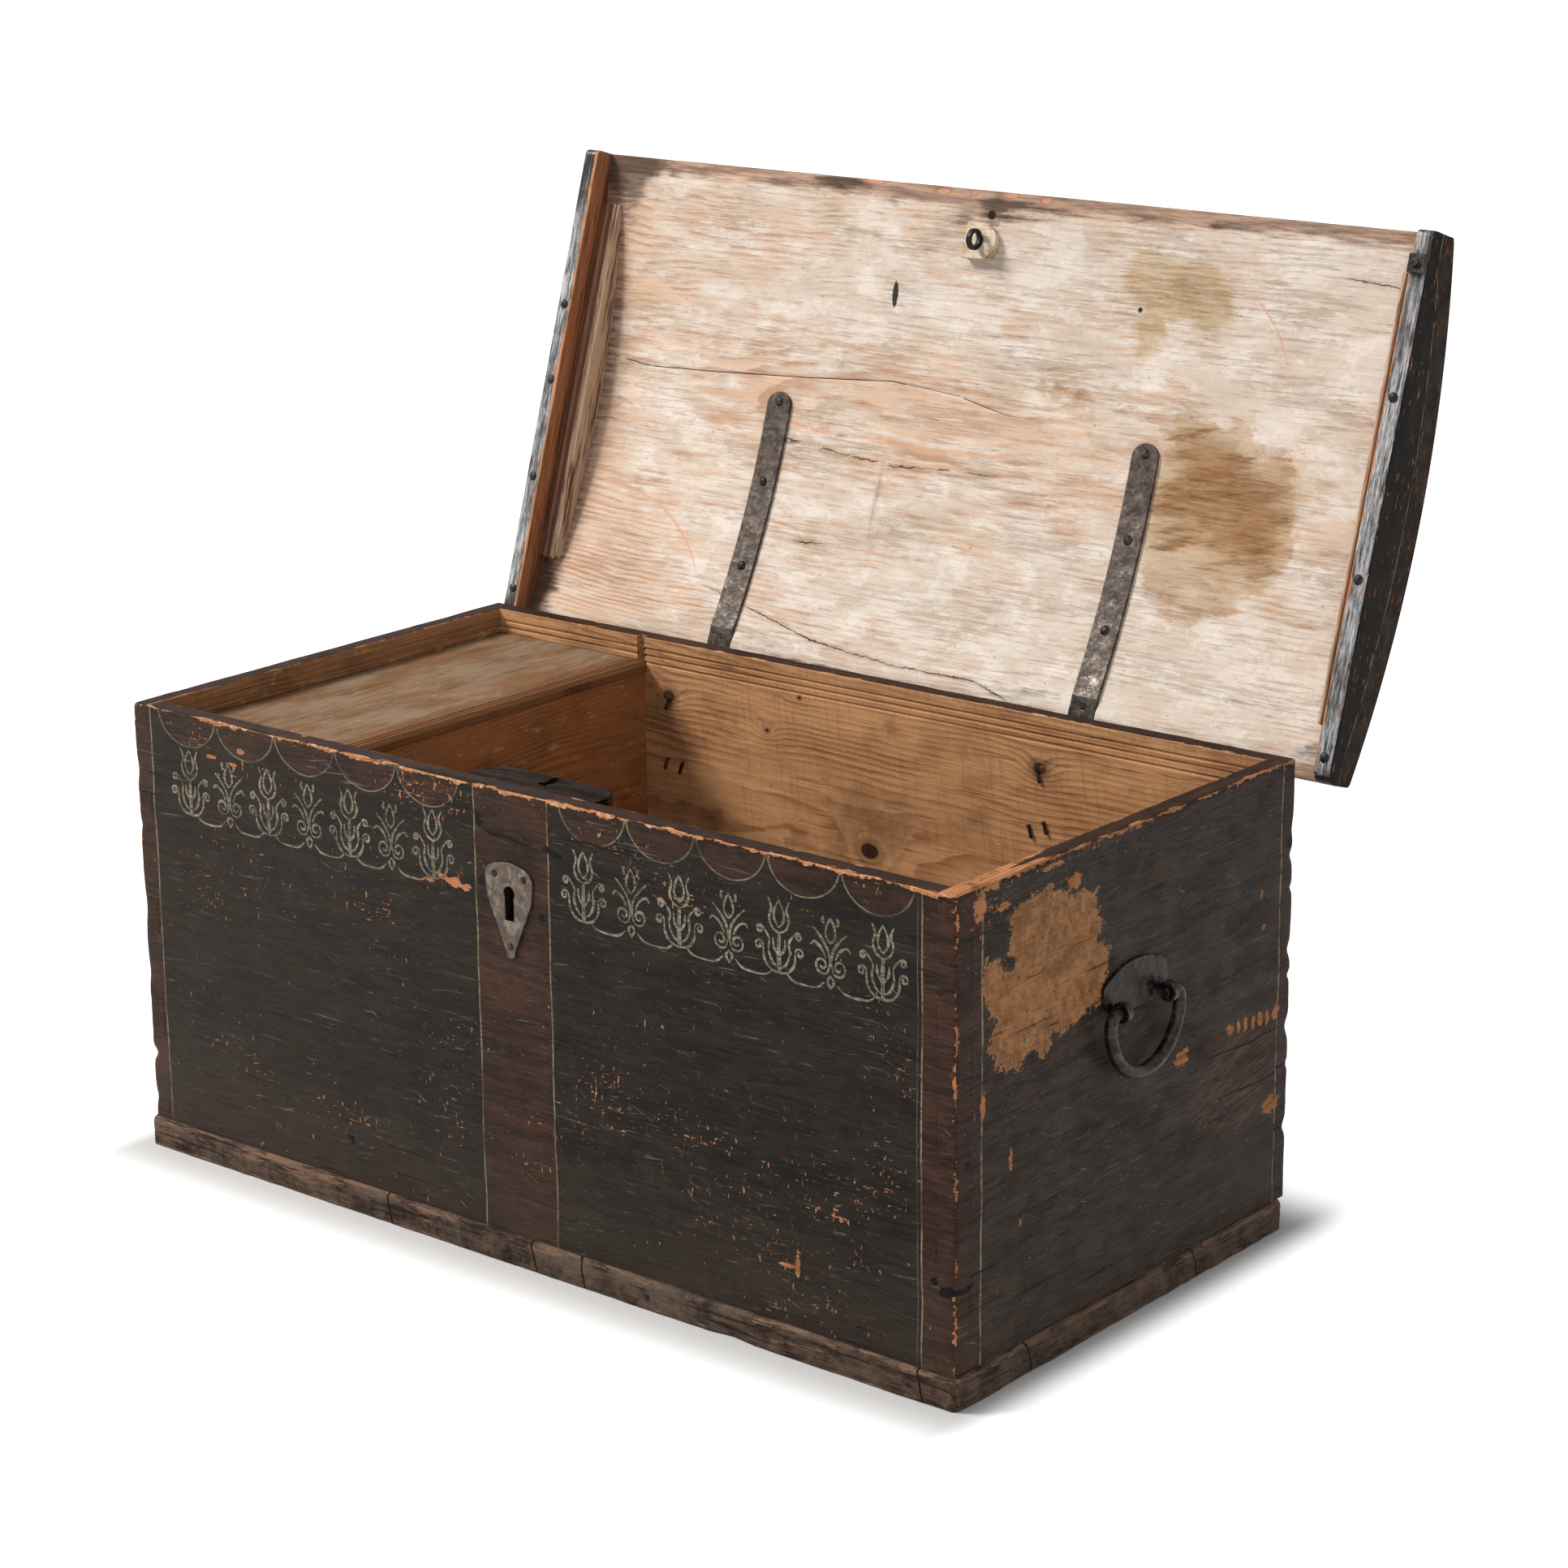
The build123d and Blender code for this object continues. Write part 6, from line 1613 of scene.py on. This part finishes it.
def make_lid_plank(word, front_line, rear_line, seed):
    """A lid plank between two seams. A seam is None where the plank ends at the lid's edge."""
    marks = [-BATTEN_X[1], BATTEN_X[1]]
    for hinge_x in HINGE_X.values():
        marks += [hinge_x + side * (STRAP_HALF + room) for side in (-1, 1) for room in (0.1, 0.2)]
    across = stations((0.0, 1.0), 7.0 / 190.0, (0.004, 0.012, 0.024))
    through = np.array([0.0, 0.03, 0.09, 0.2, 0.35, 0.5, 0.65, 0.8, 0.9, 0.96, 1.0])
    points, faces, axes, sides, _ = lattice(stations(marks, 7.0), across, through)
    x, share, level = points.T
    y_front, y_rear = np.full(len(x), LID_FRONT), np.full(len(x), HALF_DEPTH)
    if front_line:
        y_front = seam(front_line, x) + seam_gap(front_line, x)
    if rear_line:
        y_rear = seam(rear_line, x) - seam_gap(rear_line, x)
    y = y_front + (y_rear - y_front) * share
    bottom = underside(x, y)
    placed = np.stack([x, y, bottom + (dome(y) - bottom) * level], axis=1)
    low_face = level < 0.001
    fields = lid_fields(x, y)
    clear_of_straps = np.min([np.abs(x - hinge_x) for hinge_x in HINGE_X.values()], axis=0) > STRAP_HALF + 1
    placed[:, 2] += 0.35 * np.abs(rough_noise(placed, (90.0, 26.0, 90.0), seed)) * low_face * clear_of_straps
    placed[:, 2] += spots(x, y, GOUGES) * (1 - level) * (level < 0.5)
    edge = np.clip(2.4 + 1.8 * rough_noise(placed, 34.0, seed + 1), 0.5, 5)
    placed = soften(placed, (-BATTEN_X[1], LID_FRONT, LID_BASE), (BATTEN_X[1], HALF_DEPTH, INF), edge)
    arris = np.clip(1.0 + 0.8 * rough_noise(placed, 20.0, seed + 2), 0.2, 2)
    for line, gap in ((front_line, y - y_front), (rear_line, y_rear - y)):
        if line:
            lift = np.clip(1 - gap / 2.5, 0, 1) ** 2 * arris * seam_gap(line, x) * 2
            placed[:, 2] += lift * low_face - lift * (level > 0.999)
    round_top = np.clip(1 - np.minimum(y - LID_FRONT, HALF_DEPTH - y) / 6.0, 0, 1)
    placed[:, 2] -= 5.0 * (1 - np.sqrt(1 - round_top**2)) * (level > 0.97)
    picks = np.full(len(faces), 1)
    picks[(axes == 2) & (sides < 0)] = 0
    picks[axes == 0] = 2
    materials = (LIMEWASH, LID_OUTSIDE, LID_END)
    make_worn(f"lid_plank_{word}", "lid", placed, faces, materials, "limewashed_pine", picks, fields)


make_lid_plank("front", None, FRONT_SEAM, 41)
make_lid_plank("middle", FRONT_SEAM, REAR_SEAM, 44)
make_lid_plank("rear", REAR_SEAM, None, 47)


def make_batten(word, side):
    """An end batten: flat below with rounded ends, fitted to the hollow above."""
    x0, x1 = sorted(side * x for x in BATTEN_X)
    ys = stations((LID_FRONT, HALF_DEPTH), 5.0, (0.8, 2.2, 4.5, 8.0, 12.0, 16.0))
    zs = stations((BATTEN_BOTTOM, LID_BASE), 5.0)
    points, faces, axes, sides, _ = lattice(stations((x0, x1), 5.0), ys, zs)
    wear = np.clip(1.8 + 1.6 * rough_noise(points, (18.0, 40.0, 18.0), 51 + side), 0.4, 4.4)
    moved = soften(points, (x0, LID_FRONT, BATTEN_BOTTOM), (x1, HALF_DEPTH, INF), wear)
    moved = soften(moved, (-INF, -INF, BATTEN_BOTTOM), (INF, HALF_DEPTH, INF), BATTEN_REAR_ROUND)
    moved = soften(moved, (-INF, LID_FRONT, BATTEN_BOTTOM), (INF, INF, INF), BATTEN_FRONT_ROUND)
    hollow = 0.9 * np.abs(rough_noise(points, (12.0, 60.0, 40.0), 55 + side))
    moved[:, 2] += hollow * (points[:, 2] < BATTEN_BOTTOM + NEAR)
    level = np.clip((points[:, 2] - BATTEN_BOTTOM - 8) / (LID_BASE - BATTEN_BOTTOM - 8), 0, 1)
    rise = underside(np.zeros(len(points)), moved[:, 1]) - LID_BASE
    moved[:, 2] += level * rise
    fields = {"joint": LID_BASE + rise - moved[:, 2]}
    picks = np.full(len(faces), 0)
    picks[(axes == 0) & (sides == side)] = 1
    picks[(axes == 0) & (sides == -side)] = 2
    materials = (batten_paint_and_reflection(f"batten_paint_and_reflection_{word}", side), BATTEN_OUTSIDE, BATTEN_INSIDE)
    make_worn(f"lid_batten_{word}", "lid", moved, faces, materials, "charcoal_painted_pine", picks, fields)


def make_inner_strip(word, side):
    """The moulded strip inside a batten. The left one is broken at its rear end."""
    y0, y1 = STRIP_REACH[side]
    xs = np.linspace(STRIP_X[0], STRIP_X[1], 31)
    levels = np.array([0.0, 0.08, 0.25, 0.5, 0.75, 1.0])
    points, faces, *_ = lattice(xs, stations((0.0, 1.0), 0.012), levels)
    x, share, level = points.T
    end_grain = np.stack([x, x * 0, level * 12], axis=1)
    break_depth = 26.0 if side < 0 else 5.0
    rear_ragged = break_depth * np.abs(rough_noise(end_grain, (5.0, 5.0, 6.0), 61 + side))
    front_ragged = 3.0 * np.abs(rough_noise(end_grain, (5.0, 5.0, 6.0), 64))
    y = y0 + front_ragged + (y1 - rear_ragged - y0 - front_ragged) * share
    cove = np.sqrt(np.clip(1 - ((x - STRIP_COVE[0]) / STRIP_COVE[1]) ** 2, 0, 1))
    roll = np.sqrt(np.clip(1 - ((x - STRIP_ROLL[0]) / STRIP_ROLL[1]) ** 2, 0, 1))
    quirk = np.exp(-(((x - STRIP_QUIRK[0]) / STRIP_QUIRK[1]) ** 2))
    bottom = LID_BASE + 0.3 + STRIP_COVE[1] * cove + STRIP_ROLL[1] * roll + 1.2 * quirk
    bottom += 0.5 * np.abs(rough_noise(np.stack([x, y, x * 0], axis=1), (6.0, 40.0, 9.0), 66 + side))
    top = underside(np.zeros(len(x)), y)
    placed = np.stack([side * x, y, bottom + np.maximum(top - bottom, 1.0) * level], axis=1)
    faces = faces if side > 0 else faces[:, ::-1]
    make_worn(f"lid_inner_strip_{word}", "lid", placed, faces, (STRIP_WOOD,), "brown_painted_pine")


for word, side in SIDES.items():
    make_batten(word, side)
    make_inner_strip(word, side)


# Forged iron and small parts

# The handles' axle, at X and Z. Round it, between these reaches, the irons turn smooth and shrink a little.
HANDLE_AXLE = (616.0, 358.0)
AXLE_REACH = (7.5, 9.5)
AXLE_ROOM = 0.3


def forged(node, voxel, rough, material, seed, grain=9.0, axle=None):
    """A node's shape remade as a slightly uneven forging with softened edges.

    Near an axle, which runs along Y at the given X and Z, it is worn smooth and a little free instead."""
    source = frame["nodes"][node]
    copy = bpy.data.objects.new(f"{node}_forged", source.data.copy())
    bpy.context.scene.collection.objects.link(copy)
    remesh = copy.modifiers.new("forge", "REMESH")
    remesh.mode = "VOXEL"
    remesh.voxel_size = voxel * MM
    graph = bpy.context.evaluated_depsgraph_get()
    mesh = bpy.data.meshes.new_from_object(copy.evaluated_get(graph))
    copy.modifiers.clear()
    copy.data = mesh
    count = len(mesh.vertices)
    points = np.empty(count * 3, np.float32)
    normals = np.empty(count * 3, np.float32)
    mesh.vertices.foreach_get("co", points)
    mesh.vertex_normals.foreach_get("vector", normals)
    points = points.reshape(-1, 3).astype(float) / MM
    normals = normals.reshape(-1, 3)
    push = rough * (rough_noise(points, grain, seed) - 0.35)
    if axle is not None:
        off_axle = np.hypot(np.abs(points[:, 0]) - axle[0], points[:, 2] - axle[1])
        share = np.clip((off_axle - AXLE_REACH[0]) / (AXLE_REACH[1] - AXLE_REACH[0]), 0.0, 1.0)
        push = push * share - AXLE_ROOM * (1.0 - share)
    points += normals * push[:, None]
    mesh.vertices.foreach_set("co", (points * MM).astype(np.float32).ravel())
    mesh.materials.clear()
    mesh.materials.append(material)
    mesh.update()
    mesh.shade_smooth()
    body = source["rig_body"]
    if body == "lid":
        shut = np.array(OPENING.inverted())
        keep_drawn(mesh, (points * MM @ shut[:3, :3].T + shut[:3, 3]) / MM)
    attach(copy, body)
    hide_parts(node)


for word, side in SIDES.items():
    forged(f"hinge_strap_{word}", 1.0, 0.45, STRAP_IRON, 71 + side)
    forged(f"handle_plate_{word}", 1.0, 0.6, PLATE_IRON, 75 + side)
    forged(f"handle_eyes_{word}", 0.8, 0.4, IRON, 78 + side, axle=HANDLE_AXLE)
    forged(f"handle_bail_{word}", 0.9, 0.45, IRON, 81 + side, axle=HANDLE_AXLE)
    forged(f"hinge_leaf_{word}", 1.1, 0.4, IRON, 84 + side)
forged("escutcheon_plate", 0.7, 0.35, ESCUTCHEON_IRON, 91)
forged("catch_eye", 0.7, 0.3, IRON, 93)
forged("catch_block", 0.9, 0.5, BLOCK_WOOD, 94)
for node in (
    "batten_nails_left", "batten_nails_right", "strap_rivets_left", "strap_rivets_right", "escutcheon_nails",
    "till_nails", "batten_bolt_right", "leaf_nails_left", "leaf_nails_right", "plinth_nails",
):
    forged(node, 0.6, 0.3, IRON, 95, grain=4.0)

# Nodes, little seen, that keep their solid's shape and take only a finish.
NODE_FINISHES = {
    "bottom_plank_front": FLOOR_WOOD, "bottom_plank_middle": FLOOR_WOOD, "bottom_plank_rear": FLOOR_WOOD,
    "bottom_bearer": HIDDEN_WOOD, "till_floor_board": TILL_WOOD, "till_lid_pins": TILL_LID_WOOD,
    "lock_nails": IRON, "lock_plate": IRON, "lock_bolt_guides": IRON, "lock_key_post": IRON,
    "lock_spring": IRON, "lock_bolt": IRON, "hinge_pin_left": IRON, "hinge_pin_right": IRON,
}
for node, finish in NODE_FINISHES.items():
    mesh = frame["nodes"][node].data
    for index in range(len(mesh.materials)):
        mesh.materials[index] = finish
    if not mesh.materials:
        mesh.materials.append(finish)


# Painted scrollwork on the front

# Rows of ornament: left and right ends, the foot's height and the number of motifs.
PANELS = ((-540.0, -84.0, 428.0, 7), (72.0, 542.0, 422.0, 7))

def curve(knots, count=14):
    """A smooth line through a few points."""
    knots = np.array(knots, float)
    ends = np.vstack([2 * knots[0] - knots[1], knots, 2 * knots[-1] - knots[-2]])
    line = []
    for before, first, second, after in zip(ends, ends[1:], ends[2:], ends[3:]):
        slope = second - before
        bend = 2 * before - 5 * first + 4 * second - after
        twist = 3 * first - before - 3 * second + after
        for t in np.linspace(0, 1, count, endpoint=False):
            line.append(0.5 * (2 * first + slope * t + bend * t**2 + twist * t**3))
    return np.array([*line, knots[-1]])


def volute(middle, size, start, turns):
    """A curl that winds in to its eye, from an angle and by a number of turns."""
    share = np.linspace(0, 1, 40)
    angle = start + turns * 2 * np.pi * share
    reach = size * (1 - 0.8 * share)
    return np.stack([middle[0] + reach * np.cos(angle), middle[1] + reach * np.sin(angle)], axis=1)


def mirrored(lines):
    """Each line, on the left and on the right of the middle."""
    return [np.array(line) * (side, 1) for line in lines for side in (-1, 1)]


def tulip():
    """A tulip on a stem, with two long leaves that curl outwards. Lines round its foot, and their widths."""
    bloom = mirrored([
        curve([(0, 44), (9, 49), (13, 59), (10, 70), (14, 80)]),
        curve([(0, 50), (6, 58), (6, 68), (0, 80)]),
        curve([(0, 6), (9, 12), (14, 24), (13, 36), (20, 46)]),
        curve([(0, 1), (12, 4), (20, 14), (21, 27)]),
        curve([(2, 20), (7, 28), (8, 38)]),
    ])
    curls = mirrored([volute((25, 44), 5.0, math.pi, -1.3), volute((27, 27), 6.0, math.pi, -1.2)])
    stem = [curve([(-1.2, 0), (-2.0, 20), (-1.0, 44)]), curve([(1.4, 0), (0.8, 20), (1.2, 44)])]
    return [(line, 0.95) for line in bloom + curls] + [(line, 0.8) for line in stem]


def lyre():
    """Two facing curls with a bud above and a drop below."""
    curls = mirrored([
        volute((11, 22), 10.0, -2.4, 1.35),
        curve([(4, 15), (1, 26), (4, 40), (13, 52), (22, 60)]),
        curve([(6, 30), (12, 40), (21, 45), (26, 41)]),
        curve([(0, 46), (6, 54), (5, 64), (0, 74)]),
        curve([(0, 12), (4, 6), (0, -2)]),
    ])
    seeds = [curve([(side * 8, 66), (side * 10, 70), (side * 9, 75)]) for side in (-1, 1)]
    return [(line, 0.95) for line in curls] + [(line, 1.2) for line in seeds]


def panel_strokes(left, right, base, count):
    """A row of tulips and lyres across a panel, joined at the foot by small garlands."""
    strokes = []
    width = (right - left) / count
    for index in range(count):
        middle = left + width * (index + 0.5)
        motif = tulip() if index % 2 == 0 else lyre()
        strokes += [(line + (middle, base), wide) for line, wide in motif]
        if index:
            foot = np.array([(-width + 8, 4), (-width * 0.7, -4), (-width * 0.3, -4), (-8, 4)])
            strokes.append((curve(foot + (middle, base)), 0.8))
    return strokes


def make_scrollwork():
    """Cream strokes that lie on the front, thick in the middle and thin at their ends."""
    points, faces = [], []
    strokes = [stroke for panel in PANELS for stroke in panel_strokes(*panel)]
    for index, (line, width) in enumerate(strokes):
        ahead = np.gradient(line, axis=0)
        ahead /= np.linalg.norm(ahead, axis=1)[:, None]
        across = np.stack([-ahead[:, 1], ahead[:, 0]], axis=1)
        share = np.linspace(0, 1, len(line))
        wide = 1.6 * width * (0.45 + 0.55 * np.sin(np.pi * share) ** 0.6)
        wide *= 1 + 0.25 * np.sin(share * 9 + index)
        first = len(points)
        for centre, normal, half in zip(line, across, wide):
            for sign in (-1, 1):
                spot = centre + normal * half * sign
                points.append((spot[0], -HALF_DEPTH, spot[1]))
        for k in range(len(line) - 1):
            a = first + 2 * k
            faces.append((a, a + 1, a + 3, a + 2))
    points = np.array(points)
    points[:, 1] += front_relief(points) - 0.16
    make_piece("front_scrollwork", "case", points, faces, (CREAM_PAINT,), "charcoal_painted_pine")


make_scrollwork()


# Floor, light and camera

SEEN_BY = ("Camera", "Glossy", "Transmission")
FLOOR_REACH = 14.0
FLOOR_COLOR = (0.58, 0.576, 0.572, 1)
# How fast the floor's shadow gives way to white beside the plinth, and before and behind it.
FADE = (1.6, 0.75)
# Distances over which it does so, and the share of the white that each adds.
FADE_STEPS = ((0.0, 100.0, 0.88), (100.0, 400.0, 0.12))
LAMP_TARGET = (0.0, 0.0, 0.5)


def make_floor():
    """A pale floor, seen as white except for the chest's shadow close by."""
    mesh = bpy.data.meshes.new("floor")
    corners = [(x * FLOOR_REACH, y * FLOOR_REACH, 0) for x, y in ((-1, -1), (1, -1), (1, 1), (-1, 1))]
    mesh.from_pydata(corners, [], [(0, 1, 2, 3)])
    s = Shade("floor")
    path = s.tree.nodes.new("ShaderNodeLightPath")
    seen = s.most(*(Wire(s, path.outputs[f"Is {kind} Ray"]) for kind in SEEN_BY))
    middle, half = (PLINTH_FRONT + PLINTH_REAR) / 2, (PLINTH_REAR - PLINTH_FRONT) / 2
    beside = s.most(s.size_of(s.x) - PLINTH_X, 0.0) * FADE[0]
    before = s.most(s.size_of(s.y - middle) - half, 0.0) * FADE[1]
    away = s.math("SQRT", beside * beside + before * before)
    diffuse = s.tree.nodes.new("ShaderNodeBsdfDiffuse")
    diffuse.inputs["Color"].default_value = FLOOR_COLOR
    glow = s.tree.nodes.new("ShaderNodeEmission")
    first, second = (s.step(near, far, away) * share for near, far, share in FADE_STEPS)
    s.feed(glow.inputs["Strength"], seen * (first + second))
    both = s.tree.nodes.new("ShaderNodeAddShader")
    output = s.tree.nodes.new("ShaderNodeOutputMaterial")
    s.tree.links.new(diffuse.outputs[0], both.inputs[0])
    s.tree.links.new(glow.outputs[0], both.inputs[1])
    s.tree.links.new(both.outputs[0], output.inputs["Surface"])
    mesh.materials.append(s.material)
    floor = bpy.data.objects.new("floor", mesh)
    bpy.context.scene.collection.objects.link(floor)


def make_world():
    """A soft light from all round, seen as plain white."""
    world = bpy.data.worlds.new("studio")
    bpy.context.scene.world = world
    world.use_nodes = True
    tree = world.node_tree
    tree.nodes.clear()
    soft = tree.nodes.new("ShaderNodeBackground")
    soft.inputs["Color"].default_value = (0.98, 0.985, 1.0, 1)
    soft.inputs["Strength"].default_value = 0.36
    white = tree.nodes.new("ShaderNodeBackground")
    white.inputs["Color"].default_value = (1, 1, 1, 1)
    white.inputs["Strength"].default_value = 1.0
    path = tree.nodes.new("ShaderNodeLightPath")
    pick = tree.nodes.new("ShaderNodeMixShader")
    output = tree.nodes.new("ShaderNodeOutputWorld")
    seen = path.outputs[f"Is {SEEN_BY[0]} Ray"]
    for kind in SEEN_BY[1:]:
        either = tree.nodes.new("ShaderNodeMath")
        either.operation = "MAXIMUM"
        tree.links.new(seen, either.inputs[0])
        tree.links.new(path.outputs[f"Is {kind} Ray"], either.inputs[1])
        seen = either.outputs[0]
    tree.links.new(seen, pick.inputs[0])
    tree.links.new(soft.outputs[0], pick.inputs[1])
    tree.links.new(white.outputs[0], pick.inputs[2])
    tree.links.new(pick.outputs[0], output.inputs["Surface"])


def make_light(name, location, size, power, color=(1, 1, 1)):
    """A round lamp, placed and sized in metres, aimed at the middle of the case near its rim."""
    light = bpy.data.lights.new(name, "AREA")
    light.shape = "DISK"
    light.size = size
    light.energy = power
    light.color = color
    lamp = bpy.data.objects.new(name, light)
    bpy.context.scene.collection.objects.link(lamp)
    lamp.location = location
    aim = Vector(LAMP_TARGET) - Vector(location)
    lamp.rotation_euler = aim.to_track_quat("-Z", "Y").to_euler()


def make_camera():
    """The main view: from the front and the right, at eye height, looking down a little."""
    camera = bpy.data.cameras.new("camera")
    camera.lens = 88.83
    camera.sensor_width = 36.0
    holder = bpy.data.objects.new("camera", camera)
    bpy.context.scene.collection.objects.link(holder)
    holder.location = (2.7559, -3.1939, 1.7207)
    holder.rotation_euler = [math.radians(angle) for angle in (73.663, 0.518, 39.302)]
    bpy.context.scene.camera = holder


make_floor()
make_world()
make_light("key", (-4.2, -2.9, 5.6), 2.3, 575.0, (1.0, 0.975, 0.94))
make_light("fill", (3.4, -3.0, 1.8), 3.0, 52.0)
make_camera()
bpy.context.scene.view_settings.view_transform = "Standard"
